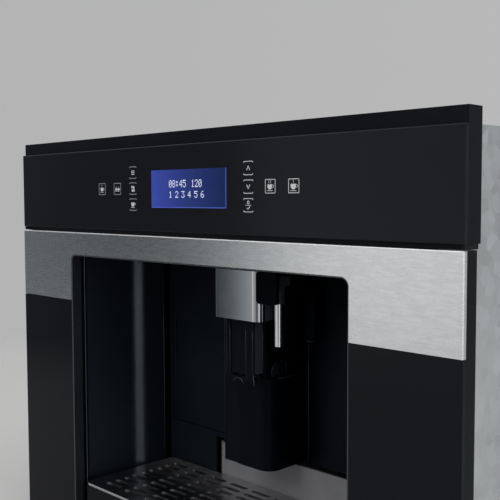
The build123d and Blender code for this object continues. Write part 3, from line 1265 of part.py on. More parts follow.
def lower_burr():
    """Turning burr with its drive shaft down into the motor."""
    top = UPPER_BURR_BOTTOM - BURR_SPACING
    disc = post(GRINDER_X, GRINDER_DEPTH, top - BURR_THICKNESS, top, BURR_RADIUS)
    shaft = post(GRINDER_X, GRINDER_DEPTH, HOUSING_BOTTOM - MOTOR_SHAFT_DEPTH + MOTOR_SHAFT_END_GAP,
                 top - BURR_THICKNESS, MOTOR_SHAFT_RADIUS)
    return disc + shaft - burr_grooves(top - GROOVE_DEPTH, top)


def grinder_motor():
    low = HOUSING_BOTTOM - MOTOR_HEIGHT
    body = post(GRINDER_X, GRINDER_DEPTH, low, HOUSING_BOTTOM, MOTOR_RADIUS)
    body = chamfer(body.faces().sort_by(Axis.Z)[0].edges(), MOTOR_CHAMFER)
    return body - post(GRINDER_X, GRINDER_DEPTH, HOUSING_BOTTOM - MOTOR_SHAFT_DEPTH, HOUSING_BOTTOM,
                       MOTOR_SHAFT_RADIUS + MOTOR_SHAFT_GAP)


def grinder_shelf():
    """Shelf on the bulkhead under the grinder motor, with a web at each side."""
    top = HOUSING_BOTTOM - MOTOR_HEIGHT
    low = top - GRINDER_SHELF_THICKNESS
    left = GRINDER_X - MOTOR_RADIUS - GRINDER_SHELF_MARGIN
    right = GRINDER_X + MOTOR_RADIUS + GRINDER_SHELF_MARGIN
    front = GRINDER_DEPTH - MOTOR_RADIUS - GRINDER_SHELF_MARGIN
    shelf = block(left, right, front, BULKHEAD_DEPTH, low, top)
    drop = low - GRINDER_WEB_HEIGHT
    side = Polyline((at(front), low), (at(BULKHEAD_DEPTH), low), (at(BULKHEAD_DEPTH), drop), close=True)
    web = extrude(make_face(Plane.YZ * side), amount=GRINDER_SHELF_THICKNESS, dir=(1, 0, 0))
    return shelf + Pos(left, 0, 0) * web + Pos(right - GRINDER_SHELF_THICKNESS, 0, 0) * web


def duct_run(inset, left):
    """A sloped four-sided bar from the chute to the middle of the grinder."""
    low = DUCT_BOTTOM + inset
    high = low + DUCT_SLOPE_DROP
    tall = DUCT_HEIGHT - 2 * inset
    width = DUCT_WIDTH - 2 * inset
    right = GRINDER_X
    back = CHUTE_FRONT + (CHUTE_LENGTH + width) / 2
    side = Polyline((left, low), (right, high), (right, high + tall), (left, low + tall), close=True)
    return Pos(0, at(back), 0) * extrude(make_face(Plane.XZ * side), amount=width, dir=(0, -1, 0))


# ---------------------------------------------------------------- bean hopper
def hopper_funnel(inset, z0, z1, radius):
    """A loft from the rectangle of the hopper down to its round neck."""
    wide = HOPPER_RIGHT - HOPPER_LEFT - 2 * inset
    long = HOPPER_BACK - HOPPER_FRONT - 2 * inset
    centre_x = (HOPPER_LEFT + HOPPER_RIGHT) / 2
    centre_y = at((HOPPER_FRONT + HOPPER_BACK) / 2)
    upper = Pos(centre_x, centre_y, z1) * Rectangle(wide, long)
    lower = Pos(GRINDER_X, at(GRINDER_DEPTH), z0) * Rectangle(2 * radius, 2 * radius)
    return loft([lower, upper])


def bean_hopper():
    """Hopper with a sloped bottom, ears for its lid and a lug for the grind knob."""
    wall = HOPPER_WALL
    foot = HOUSING_TOP
    outer_neck = BEAN_INLET_RADIUS + wall
    body = hopper_funnel(0, foot, HOPPER_FUNNEL_TOP, outer_neck)
    body += block(HOPPER_LEFT, HOPPER_RIGHT, HOPPER_FRONT, HOPPER_BACK, HOPPER_FUNNEL_TOP, RIM)
    body -= hopper_funnel(wall, foot, HOPPER_FUNNEL_TOP, BEAN_INLET_RADIUS)
    body -= block(HOPPER_LEFT + wall, HOPPER_RIGHT - wall, HOPPER_FRONT + wall, HOPPER_BACK - wall,
                  HOPPER_FUNNEL_TOP, RIM)
    ears = lid_ears(HOPPER_LEFT + ear_margin(), HOPPER_RIGHT - ear_margin(), HOPPER_BACK)
    body += ears[0]
    body += ears[1]
    lug_top = RIM - HOPPER_LUG_DROP
    half = HOPPER_LUG_WIDTH / 2
    lug = block(HOPPER_RIGHT, KNOB_X, KNOB_DEPTH - half, KNOB_DEPTH + half,
                lug_top - HOPPER_LUG_THICKNESS, lug_top)
    lug += post(KNOB_X, KNOB_DEPTH, lug_top - HOPPER_LUG_THICKNESS, lug_top, half)
    lug -= post(KNOB_X, KNOB_DEPTH, lug_top - HOPPER_LUG_THICKNESS, lug_top,
                KNOB_SPINDLE_RADIUS + KNOB_RUNNING_GAP)
    return body + lug


def hopper_lid():
    return lid_blank(HOPPER_LEFT + ear_margin(), HOPPER_RIGHT - ear_margin(),
                     HOPPER_FRONT + LID_FRONT_INSET, HOPPER_BACK)


def grind_knob():
    """Ribbed knob in the top, on a spindle through the hopper's lug."""
    top = BODY_TOP - KNOB_SINK
    low = top - KNOB_HEIGHT
    lug_top = RIM - HOPPER_LUG_DROP
    body = post(KNOB_X, KNOB_DEPTH, low, top, KNOB_RADIUS)
    ribs = [post(KNOB_X + KNOB_RADIUS * cos(radians(angle)),
                 KNOB_DEPTH + KNOB_RADIUS * sin(radians(angle)), low, top, KNOB_RIB_RADIUS)
            for angle in (360 / KNOB_RIBS * rib for rib in range(KNOB_RIBS))]
    body += ribs
    hub_low = lug_top + KNOB_STANDOFF
    body += post(KNOB_X, KNOB_DEPTH, hub_low, low, KNOB_HUB_RADIUS)
    body += post(KNOB_X, KNOB_DEPTH, lug_top - HOPPER_LUG_THICKNESS - KNOB_SPINDLE_END, hub_low,
                 KNOB_SPINDLE_RADIUS)
    front = KNOB_DEPTH - KNOB_RADIUS + KNOB_MARK_INSET
    half = KNOB_MARK_WIDTH / 2
    return body - block(KNOB_X - half, KNOB_X + half, front, front + KNOB_MARK_LENGTH,
                        top - KNOB_MARK_DEPTH, top)


# ---------------------------------------------------------------- water tank
def water_tank():
    """Tall tank that lifts out through the top, with ears for its lid and a spigot below."""
    right = TANK_LEFT + TANK_WIDTH
    back = TANK_FRONT + TANK_LENGTH
    wall = TANK_WALL
    body = upright(TANK_LEFT, right, TANK_FRONT, back, TANK_BOTTOM, RIM, TANK_RADIUS)
    body -= upright(TANK_LEFT + wall, right - wall, TANK_FRONT + wall, back - wall, TANK_BOTTOM + wall, RIM,
                    TANK_RADIUS - wall)
    body += post(VALVE_X, VALVE_DEPTH, TANK_BOTTOM - VALVE_LENGTH, TANK_BOTTOM, VALVE_RADIUS)
    body -= post(VALVE_X, VALVE_DEPTH, TANK_BOTTOM - VALVE_LENGTH, TANK_BOTTOM + wall, VALVE_BORE)
    seat = back - LID_THICKNESS / 2
    for x0, x1 in ((TANK_LEFT, TANK_LEFT + ear_margin()), (right - ear_margin(), right)):
        corner = block(x0, x1, seat - LID_EAR_LENGTH / 2, back, RIM - TANK_EAR_ROOT, RIM)
        body += corner & upright(TANK_LEFT, right, TANK_FRONT, back, TANK_BOTTOM, RIM, TANK_RADIUS)
    ears = lid_ears(TANK_LEFT + tank_lid_inset(), right - tank_lid_inset(), back)
    limit = upright(TANK_LEFT, right, TANK_FRONT, back, TANK_BOTTOM, BODY_TOP, TANK_RADIUS)
    return body + (ears[0] & limit) + (ears[1] & limit)


def tank_lid_inset():
    """How far the tank's lid stays inside each side of the tank."""
    return ear_margin() + TANK_EAR_INSET


def tank_lid():
    right = TANK_LEFT + TANK_WIDTH
    return lid_blank(TANK_LEFT + tank_lid_inset(), right - tank_lid_inset(),
                     TANK_FRONT + LID_FRONT_INSET, TANK_FRONT + TANK_LENGTH)


def tank_shelf():
    """Shelf under the tank on four legs, with the socket for the tank's spigot."""
    top = TANK_BOTTOM - TANK_SEAT_GAP
    low = top - SHELF_THICKNESS
    left = TANK_LEFT - SHELF_MARGIN
    front = TANK_FRONT - SHELF_MARGIN
    back = TANK_FRONT + TANK_LENGTH + SHELF_MARGIN
    shelf = block(left, HALF_INSIDE, front, back, low, top)
    for x0 in (left, HALF_INSIDE - SHELF_LEG):
        shelf += block(x0, x0 + SHELF_LEG, front, front + SHELF_LEG, FLOOR, low)
        shelf += block(x0, x0 + SHELF_LEG, back - SHELF_LEG, back, FLOOR, low)
    socket_low = socket_bottom()
    well = VALVE_RADIUS + VALVE_PLAY
    shelf += post(VALVE_X, VALVE_DEPTH, socket_low, low, well + SOCKET_RIM)
    shelf -= post(VALVE_X, VALVE_DEPTH, socket_low + SOCKET_FLOOR, top, well)
    shelf -= post(VALVE_X, VALVE_DEPTH, socket_low, socket_low + SOCKET_FLOOR, HOSE_BORE)
    return shelf


def socket_bottom():
    return TANK_BOTTOM - VALVE_LENGTH - VALVE_END_GAP - SOCKET_FLOOR


# ---------------------------------------------------------------- water circuit
def boiler():
    """Cast block boiler with cooling ribs, bolted to the bulkhead."""
    half = BOILER_WIDTH / 2
    front = BULKHEAD_DEPTH - BOILER_THICKNESS
    top = BOILER_BOTTOM + BOILER_HEIGHT
    body = block(BOILER_X - half, BOILER_X + half, front, BULKHEAD_DEPTH, BOILER_BOTTOM, top)
    body = chamfer(body.edges().filter_by(Axis.Z), BOILER_CHAMFER)
    pitch = BOILER_HEIGHT / BOILER_RIBS
    for rib in range(BOILER_RIBS):
        low = BOILER_BOTTOM + pitch * rib + (pitch - BOILER_GROOVE_WIDTH) / 2
        body -= block(BOILER_X - half, BOILER_X + half, front, front + BOILER_GROOVE_DEPTH, low,
                      low + BOILER_GROOVE_WIDTH)
    return body


def boiler_depth():
    return BULKHEAD_DEPTH - BOILER_THICKNESS / 2


def pump():
    """Vibration pump lying across the body, with a spigot at each end and a square coil frame."""
    right = PUMP_LEFT + PUMP_LENGTH
    body = bar_along_x(PUMP_LEFT, right, PUMP_DEPTH, PUMP_AXIS_HEIGHT, PUMP_BARREL_RADIUS)
    middle = (PUMP_LEFT + right) / 2
    body += block(middle - PUMP_FRAME_WIDTH, middle + PUMP_FRAME_WIDTH, PUMP_DEPTH - PUMP_RADIUS,
                  PUMP_DEPTH + PUMP_RADIUS, PUMP_AXIS_HEIGHT - PUMP_RADIUS, PUMP_AXIS_HEIGHT + PUMP_RADIUS)
    return body + bar_along_x(PUMP_LEFT - PUMP_SPIGOT_LENGTH, right + PUMP_SPIGOT_LENGTH, PUMP_DEPTH,
                              PUMP_AXIS_HEIGHT, PUMP_SPIGOT_RADIUS)


def pump_mounts():
    """Two rubber blocks between the pump's coil frame and the floor."""
    middle = PUMP_LEFT + PUMP_LENGTH / 2
    reach = PUMP_FRAME_WIDTH - MOUNT_INSET
    top = PUMP_AXIS_HEIGHT - PUMP_RADIUS
    return Part() + [block(x - MOUNT_THICKNESS / 2, x + MOUNT_THICKNESS / 2, PUMP_DEPTH - MOUNT_LENGTH / 2,
                           PUMP_DEPTH + MOUNT_LENGTH / 2, FLOOR, top)
                     for x in (middle - reach, middle + reach)]


def flow_meter():
    """Round flow meter on a foot, level with the pump's axis."""
    half = FLOW_METER_HEIGHT / 2
    body = post(FLOW_METER_X, PUMP_DEPTH, PUMP_AXIS_HEIGHT - half, PUMP_AXIS_HEIGHT + half,
                FLOW_METER_RADIUS)
    foot = FLOW_METER_FOOT / 2
    return body + block(FLOW_METER_X - foot, FLOW_METER_X + foot, PUMP_DEPTH - foot, PUMP_DEPTH + foot,
                        FLOOR, PUMP_AXIS_HEIGHT - half)


def hose(points, bend):
    """A tube along straight runs joined by arcs."""
    path = FilletPolyline(*points, radius=bend)
    profile = Plane(origin=path @ 0, z_dir=path % 0) * Circle(HOSE_RADIUS)
    return sweep(profile, path=path)


def water_hoses():
    """Suction, link, pressure and brew hose, four free-standing runs."""
    socket = socket_bottom()
    level = PUMP_AXIS_HEIGHT
    y_pump = at(PUMP_DEPTH)
    meter_right = FLOW_METER_X + FLOW_METER_RADIUS
    suction = hose([(VALVE_X, at(VALVE_DEPTH), socket), (VALVE_X, at(VALVE_DEPTH), level),
                    (VALVE_X, y_pump, level), (meter_right - OVERLAP, y_pump, level)], HOSE_BEND)
    meter = post(FLOW_METER_X, PUMP_DEPTH, level - HOSE_REACH, level + HOSE_REACH, FLOW_METER_RADIUS)
    suction -= meter
    pump_right = PUMP_LEFT + PUMP_LENGTH + PUMP_SPIGOT_LENGTH
    link = bar_along_x(pump_right, FLOW_METER_X, PUMP_DEPTH, level, HOSE_RADIUS)
    link -= meter
    pump_left = PUMP_LEFT - PUMP_SPIGOT_LENGTH
    turn_x = pump_left - HOSE_REACH
    y_boiler = at(boiler_depth())
    pressure = hose([(pump_left, y_pump, level), (turn_x, y_pump, level), (turn_x, y_pump, HOSE_LEVEL),
                     (BOILER_X, y_pump, HOSE_LEVEL), (BOILER_X, y_boiler, HOSE_LEVEL),
                     (BOILER_X, y_boiler, BOILER_BOTTOM)], HOSE_BEND)
    boiler_top = BOILER_BOTTOM + BOILER_HEIGHT
    y_front = at(HOSE_FRONT_DEPTH)
    head_front = at(BREW_DEPTH - BREW_HEAD_RADIUS)
    brew = hose([(BOILER_X, y_boiler, boiler_top), (BOILER_X, y_boiler, HOSE_HEAD_LEVEL),
                 (BOILER_X, y_front, HOSE_HEAD_LEVEL), (BREW_X, y_front, HOSE_HEAD_LEVEL),
                 (BREW_X, head_front + OVERLAP, HOSE_HEAD_LEVEL)], HEAD_HOSE_BEND)
    brew -= post(BREW_X, BREW_DEPTH, HOSE_HEAD_LEVEL - HOSE_REACH, HOSE_HEAD_LEVEL + HOSE_REACH,
                 BREW_HEAD_RADIUS)
    return Part() + [suction, link, pressure, brew]


# ---------------------------------------------------------------- electrics
def power_board():
    """Power board on the back of the bulkhead, with relay, filter and heat sink."""
    front = BULKHEAD_DEPTH + SHEET + SPACER_LENGTH
    back = front + BOARD_THICKNESS
    left = POWER_BOARD_LEFT
    low = POWER_BOARD_BOTTOM
    board = block(left, left + POWER_BOARD_WIDTH, front, back, low, low + POWER_BOARD_HEIGHT)
    board += on_board(FILTER_LEFT, FILTER_RISE, FILTER_WIDTH, FILTER_DEPTH, FILTER_HEIGHT)
    for relay in range(RELAYS):
        board += on_board(RELAY_LEFT + RELAY_PITCH * relay, RELAY_RISE, RELAY_WIDTH, RELAY_DEPTH,
                          RELAY_HEIGHT)
    for fin in range(FINS):
        board += on_board(FIN_LEFT + FIN_PITCH * fin, FIN_RISE, FIN_WIDTH, FIN_DEPTH, FIN_HEIGHT)
    return board


def on_board(x, z, width, depth, height):
    """A block on the power board, placed from the board's lower left corner."""
    left = POWER_BOARD_LEFT + x
    low = POWER_BOARD_BOTTOM + z
    front = BULKHEAD_DEPTH + SHEET + SPACER_LENGTH + BOARD_THICKNESS
    return block(left, left + width, front, front + depth, low, low + height)


def board_screw_places():
    """The four raised pads on the bulkhead that the power board is screwed to."""
    return [(POWER_BOARD_LEFT + x, POWER_BOARD_BOTTOM + z)
            for x in (SPACER_INSET, POWER_BOARD_WIDTH - SPACER_INSET)
            for z in (SPACER_INSET, POWER_BOARD_HEIGHT - SPACER_INSET)]


def inlet_space(d0, d1):
    half = INLET_WIDTH / 2
    tall = INLET_TALL / 2
    return block(INLET_X - half, INLET_X + half, d0, d1, INLET_HEIGHT - tall, INLET_HEIGHT + tall)


def switch_space(d0, d1):
    half = SWITCH_WIDTH / 2
    tall = SWITCH_TALL / 2
    return block(SWITCH_X - half, SWITCH_X + half, d0, d1, INLET_HEIGHT - tall, INLET_HEIGHT + tall)


def power_inlet():
    """Mains inlet with three flat pins, and beside it the pocket of the main switch, in one moulding."""
    body = inlet_space(REAR_OUTSIDE - INLET_DEPTH, REAR_OUTSIDE)
    body += switch_space(REAR_OUTSIDE - SWITCH_DEPTH, REAR_OUTSIDE)
    body += block(INLET_X, SWITCH_X, REAR_INSIDE - BRIDGE_THICKNESS, REAR_INSIDE,
                  INLET_HEIGHT - INLET_TALL / 2, INLET_HEIGHT + INLET_TALL / 2)
    half = INLET_WIDTH / 2 - INLET_WALL
    tall = INLET_TALL / 2 - INLET_WALL
    floor = REAR_OUTSIDE - INLET_DEPTH + INLET_WALL
    body -= block(INLET_X - half, INLET_X + half, floor, REAR_OUTSIDE, INLET_HEIGHT - tall,
                  INLET_HEIGHT + tall)
    for x, z in ((-INLET_PIN_SPACING, -LIVE_PIN_DROP), (0, EARTH_PIN_RISE),
                 (INLET_PIN_SPACING, -LIVE_PIN_DROP)):
        body += block(INLET_X + x - INLET_PIN_WIDTH / 2, INLET_X + x + INLET_PIN_WIDTH / 2, floor,
                      floor + INLET_PIN_LENGTH, INLET_HEIGHT + z - INLET_PIN_TALL / 2,
                      INLET_HEIGHT + z + INLET_PIN_TALL / 2)
    half = SWITCH_WIDTH / 2 - SWITCH_WALL
    tall = SWITCH_TALL / 2 - SWITCH_WALL
    body -= block(SWITCH_X - half, SWITCH_X + half, REAR_OUTSIDE - SWITCH_DEPTH + SWITCH_WALL,
                  REAR_OUTSIDE, INLET_HEIGHT - tall, INLET_HEIGHT + tall)
    reach = half + ROCKER_PIN_SEAT
    return body - bar_along_x(SWITCH_X - reach, SWITCH_X + reach, PIVOT_DEPTH, INLET_HEIGHT,
                              ROCKER_PIN_RADIUS + ROCKER_PIN_GAP)


def main_switch():
    """Rocker of the main switch, tilted to its off side at rest."""
    half = SWITCH_WIDTH / 2 - SWITCH_WALL - ROCKER_PLAY
    tall = SWITCH_TALL / 2 - SWITCH_WALL - ROCKER_PLAY
    rocker = Box(2 * half, ROCKER_THICKNESS, 2 * tall)
    rocker = fillet(rocker.edges().filter_by(Axis.X), ROCKER_EDGE_RADIUS)
    rocker = Pos(SWITCH_X, at(PIVOT_DEPTH), INLET_HEIGHT) * Rot(ROCKER_TILT, 0, 0) * rocker
    reach = half + ROCKER_PLAY + ROCKER_PIN_SEAT - ROCKER_PIN_END_GAP
    return rocker + bar_along_x(SWITCH_X - reach, SWITCH_X + reach, PIVOT_DEPTH, INLET_HEIGHT,
                                ROCKER_PIN_RADIUS)


# ---------------------------------------------------------------- telescopic rails
def rail_channel(x_web, toward, z0, z1, reach):
    """A channel along Y: an upright web with a flange at its top and bottom."""
    web_far = x_web + toward * SHEET
    lip = x_web + toward * reach
    web = block(min(x_web, web_far), max(x_web, web_far), RAIL_FRONT, RAIL_FRONT + RAIL_LENGTH, z0, z1)
    for low in (z0, z1 - SHEET):
        web += block(min(x_web, lip), max(x_web, lip), RAIL_FRONT, RAIL_FRONT + RAIL_LENGTH, low,
                     low + SHEET)
    return web


def rail_outer():
    """Outer rails, left and right: each screwed to the cabinet side and standing on its floor."""
    outside = NICHE_WIDTH / 2
    rail = rail_channel(outside, -1, 0, RAIL_HEIGHT, RAIL_FLANGE)
    rail += block(outside - RAIL_FOOT_WIDTH, outside, RAIL_FRONT, RAIL_FRONT + RAIL_LENGTH, 0, SHEET)
    centre = RAIL_FRONT + RAIL_LENGTH / 2
    for depth in (centre - RAIL_SCREW_SPACING / 2, centre + RAIL_SCREW_SPACING / 2):
        rail -= bar_along_x(outside - SHEET, outside, depth, RAIL_HEIGHT / 2, RAIL_SCREW_RADIUS)
    return both_sides(rail)


def rail_middle():
    """Middle members of both rails, nested in the outer ones."""
    outside = NICHE_WIDTH / 2 - SHEET - RAIL_SIDE_STEP
    return both_sides(rail_channel(outside, -1, SHEET + RAIL_STEP, RAIL_HEIGHT - SHEET - RAIL_STEP,
                                   RAIL_FLANGE - RAIL_SIDE_STEP))


def rail_inner():
    """Inner members of both rails, fixed to the sides of the body."""
    low = 2 * SHEET + 2 * RAIL_STEP
    high = RAIL_HEIGHT - 2 * SHEET - 2 * RAIL_STEP
    return both_sides(rail_channel(HALF_BODY, 1, low, high, RAIL_FLANGE - RAIL_SIDE_STEP))


# ---------------------------------------------------------------- the whole machine
SUB_PARTS = [
    rail_outer, rail_middle, rail_inner, base_tray, side_panels, rear_panel, rear_screws, top_cover,
    front_frame, bulkhead, hinge_brackets, door_magnet, control_glass, panel_carrier, touch_board,
    display_module, cup_niche_liner, niche_floor, niche_back_panel, spout_column, nozzle_socket,
    brew_frame, brew_chamber, infuser_motor, powder_chute, grinder_housing, upper_burr,
    grinder_motor, bean_hopper, tank_shelf, boiler, pump, pump_mounts, flow_meter, water_hoses,
    power_board, power_inlet, door_frame, steel_fascia, door_glass, opening_ring, door_strike,
    spout_cover, spout_body, nozzle_connector, nozzle_tube, drip_tray, grounds_container, cup_grid,
    drip_float, infuser_hatch, water_tank, tank_lid, hopper_lid, powder_flap, grind_knob,
    lower_burr, infuser_spindle, brew_piston, main_switch,
]

os.makedirs("parts", exist_ok=True)
for sub_part in SUB_PARTS:
    export_step(sub_part(), f"parts/{sub_part.__name__}.step")
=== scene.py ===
import json
import math

import bmesh
import bpy
from mathutils import Matrix, Vector


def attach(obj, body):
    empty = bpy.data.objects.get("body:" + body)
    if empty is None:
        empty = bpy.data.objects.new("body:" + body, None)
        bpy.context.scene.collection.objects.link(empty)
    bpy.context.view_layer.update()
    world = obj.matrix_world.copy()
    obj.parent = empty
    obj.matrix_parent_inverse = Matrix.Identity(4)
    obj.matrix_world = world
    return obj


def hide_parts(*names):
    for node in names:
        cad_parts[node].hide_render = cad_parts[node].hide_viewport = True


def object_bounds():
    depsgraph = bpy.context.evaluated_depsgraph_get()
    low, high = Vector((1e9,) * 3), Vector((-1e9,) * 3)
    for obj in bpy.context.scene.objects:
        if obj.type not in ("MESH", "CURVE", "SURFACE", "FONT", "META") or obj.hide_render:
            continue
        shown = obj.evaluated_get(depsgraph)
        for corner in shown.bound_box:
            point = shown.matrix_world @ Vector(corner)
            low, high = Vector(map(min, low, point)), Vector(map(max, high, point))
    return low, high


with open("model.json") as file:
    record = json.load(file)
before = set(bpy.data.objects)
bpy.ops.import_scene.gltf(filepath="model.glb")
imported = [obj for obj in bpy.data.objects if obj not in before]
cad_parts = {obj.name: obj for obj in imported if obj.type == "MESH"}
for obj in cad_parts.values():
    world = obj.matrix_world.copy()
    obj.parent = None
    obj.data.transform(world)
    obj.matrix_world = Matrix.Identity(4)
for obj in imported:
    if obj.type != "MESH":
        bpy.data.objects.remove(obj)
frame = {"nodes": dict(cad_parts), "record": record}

cad_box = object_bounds()
MM = 0.001
FRONT = cad_box[0].y                    # the front plane, in metres

# Lengths are in millimetres where nothing else is said: x from the middle, depth behind the
# front plane, z above the ground.  Cameras, lamps, the floor and relief depths are in metres.


# ------------------------------------------------------------------ materials
SPARK_GRAIN = 2600.0                    # noise scale of a spark-eroded mould's grain


class Finish:
    """One procedural material, made from a few noise layers on a Principled shader."""

    def __init__(self, name, colour, metallic=0.0, specular=0.5):
        self.name = name
        self.mat = bpy.data.materials.new(name)
        self.mat.use_nodes = True
        self.tree = self.mat.node_tree
        self.tree.nodes.clear()
        self.out = self.node("ShaderNodeOutputMaterial")
        self.bsdf = self.node("ShaderNodeBsdfPrincipled")
        self.place = self.node("ShaderNodeTexCoord")
        self.link(self.bsdf.outputs[0], self.out.inputs[0])
        self.colour = (*colour, 1.0)
        self.set(Base_Color=self.colour, Metallic=metallic, Specular_IOR_Level=specular)

    def node(self, kind, **settings):
        made = self.tree.nodes.new(kind)
        for key, value in settings.items():
            setattr(made, key, value)
        return made

    def link(self, a, b):
        self.tree.links.new(a, b)

    def set(self, **values):
        """Uniform values on the shader's own sockets."""
        for key, value in values.items():
            self.bsdf.inputs[key.replace("_", " ")].default_value = value
        return self

    def where(self, stretch):
        """The place on the object, stretched by a factor along each axis."""
        spread = self.node("ShaderNodeMapping")
        spread.inputs["Scale"].default_value = stretch
        self.link(self.place.outputs["Object"], spread.inputs["Vector"])
        return spread.outputs[0]

    def noise(self, scale, detail=3.0, stretch=(1, 1, 1), rough=0.5):
        made = self.node("ShaderNodeTexNoise")
        made.inputs["Scale"].default_value = scale
        made.inputs["Detail"].default_value = detail
        made.inputs["Roughness"].default_value = rough
        self.link(self.where(stretch), made.inputs["Vector"])
        return made.outputs["Fac"]

    def cells(self, scale, output):
        made = self.node("ShaderNodeTexVoronoi")
        made.inputs["Scale"].default_value = scale
        self.link(self.where((1, 1, 1)), made.inputs["Vector"])
        return made.outputs[output]

    def across(self):
        """The place from left to right, in metres."""
        split = self.node("ShaderNodeSeparateXYZ")
        self.link(self.place.outputs["Object"], split.inputs[0])
        return split.outputs["X"]

    def remap(self, value, low, high, start=0.3, end=0.7):
        made = self.node("ShaderNodeMapRange")
        made.inputs["From Min"].default_value = start
        made.inputs["From Max"].default_value = end
        made.inputs["To Min"].default_value = low
        made.inputs["To Max"].default_value = high
        self.link(value, made.inputs["Value"])
        return made.outputs[0]

    def tone(self, value, other, low=0.3, high=0.7):
        """The colour runs between its own and another along a layer."""
        mix = self.node("ShaderNodeMix", data_type="RGBA")
        before = self.bsdf.inputs["Base Color"]
        if before.is_linked:
            self.link(before.links[0].from_socket, mix.inputs["A"])
        else:
            mix.inputs["A"].default_value = self.colour
        mix.inputs["B"].default_value = (*other, 1.0)
        self.link(self.remap(value, 0.0, 1.0, low, high), mix.inputs["Factor"])
        self.link(mix.outputs["Result"], before)
        return self

    def polish(self, value, low, high):
        """The roughness runs between two values along a layer."""
        self.link(self.remap(value, low, high), self.bsdf.inputs["Roughness"])
        return self

    def relief(self, value, strength, depth):
        """A layer stands out as a fine relief; depth in metres."""
        bump = self.node("ShaderNodeBump")
        bump.inputs["Strength"].default_value = strength
        bump.inputs["Distance"].default_value = depth
        self.link(value, bump.inputs["Height"])
        self.link(bump.outputs[0], self.bsdf.inputs["Normal"])
        return self

    def shine(self, colour):
        """Gives off the light of a colour socket."""
        self.link(colour, self.bsdf.inputs["Emission Color"])
        self.set(Emission_Strength=1.0)


def scaled(colour, factor, lift=0.0):
    return tuple(c * factor + lift for c in colour)


def layered(name, colour, tone, polish, relief=None, **values):
    """Three noise layers.  Each holds the noise's own values, and then what it does."""
    f = Finish(name, colour, **values)
    f.tone(f.noise(*tone[0]), *tone[1:])
    f.polish(f.noise(*polish[0]), *polish[1:])
    if relief:
        f.relief(f.noise(*relief[0]), *relief[1:])
    return f


def plastic(name, colour, roughness, grain=SPARK_GRAIN, strength=0.25, specular=0.5):
    """Moulded plastic: fine spark-eroded grain, faint clouding and a few smoother patches."""
    return layered(name, colour, ((14.0, 4.0), scaled(colour, 1.35, 0.001)),
                   ((45.0, 3.0), roughness * 0.85, roughness * 1.2),
                   ((grain, 2.0), strength, 0.00004), specular=specular)


def brushed(name, colour, roughness, along, strength):
    """Brushed metal: hairlines along one axis, cloudy sheen and stronger single strokes."""
    fine = {"X": (20, 300, 1100), "Y": (300, 20, 1100), "Z": (700, 700, 16)}[along]
    wide = {"X": (90, 60, 380), "Y": (60, 90, 380), "Z": (90, 90, 50)}[along]
    f = Finish(name, colour, metallic=1.0)
    hair = f.noise(1.6, 3.0, fine, 0.6)
    f.tone(hair, scaled(colour, 0.9), 0.35, 0.72)
    f.tone(f.noise(1.0, 3.0, wide), scaled(colour, 1.06), 0.4, 0.7)
    f.polish(f.noise(0.9, 2.0, wide), roughness * 0.94, roughness * 1.06)
    f.relief(hair, strength, 0.00001)
    f.set(Anisotropic=0.75, Anisotropic_Rotation=0.25)
    grain = f.node("ShaderNodeTangent", direction_type="RADIAL", axis="Z")
    f.link(grain.outputs[0], f.bsdf.inputs["Tangent"])
    return f


def sheet_metal(name, colour, roughness):
    """Zinc-coated sheet: soft spangle cells, light stains and a fine rolled grain."""
    f = Finish(name, colour, metallic=0.85)
    spangle = f.node("ShaderNodeSeparateColor")
    f.link(f.cells(95.0, "Color"), spangle.inputs[0])
    f.tone(spangle.outputs[0], scaled(colour, 0.78), 0.0, 1.0)
    f.tone(f.noise(7.0, 5.0), scaled(colour, 1.12), 0.45, 0.75)
    f.polish(spangle.outputs[1], roughness * 0.8, roughness * 1.2)
    f.relief(f.noise(1.5, 3.0, (30, 900, 900)), 0.12, 0.00003)
    return f


def dark_glass(name, colour):
    """Back-printed black glass: even print, faint wiping marks and a few specks."""
    f = Finish(name, colour, specular=0.06)
    f.tone(f.noise(3.0, 4.0), scaled(colour, 1.25), 0.35, 0.75)
    f.tone(f.noise(900.0, 1.0), scaled(colour, 2.0, 0.004), 0.70, 0.78)
    f.polish(f.noise(9.0, 4.0, (1, 1, 3)), 0.035, 0.11)
    f.relief(f.noise(25.0, 2.0), 0.02, 0.0001)
    return f


def circuit_board(name, colour):
    """A green board with cells of lacquer and raised copper lines."""
    f = Finish(name, colour)
    lines = (1.0, 0.0, (700, 700, 90))
    f.tone(f.cells(260.0, "Distance"), (0.035, 0.21, 0.09), 0.1, 0.5)
    f.tone(f.noise(*lines), (0.05, 0.26, 0.12), 0.6, 0.63)
    f.polish(f.noise(50.0), 0.22, 0.4)
    f.relief(f.noise(*lines), 0.25, 0.00008)
    return f


def print_ink(name, colour, other):
    """White print, slightly uneven."""
    return layered(name, colour, ((800.0, 2.0), other), ((400.0,), 0.42, 0.6))


def lit_ink(name, dark, light, clouds, specular=0.5):
    """A print that gives off light between two colours."""
    f = Finish(name, (0.0, 0.0, 0.0), specular=specular)
    f.polish(f.noise(60.0), 0.25, 0.4)
    mix = f.node("ShaderNodeMix", data_type="RGBA")
    mix.inputs["A"].default_value = (*dark, 1)
    mix.inputs["B"].default_value = (*light, 1)
    f.link(f.noise(clouds), mix.inputs["Factor"])
    f.shine(mix.outputs["Result"])
    return f


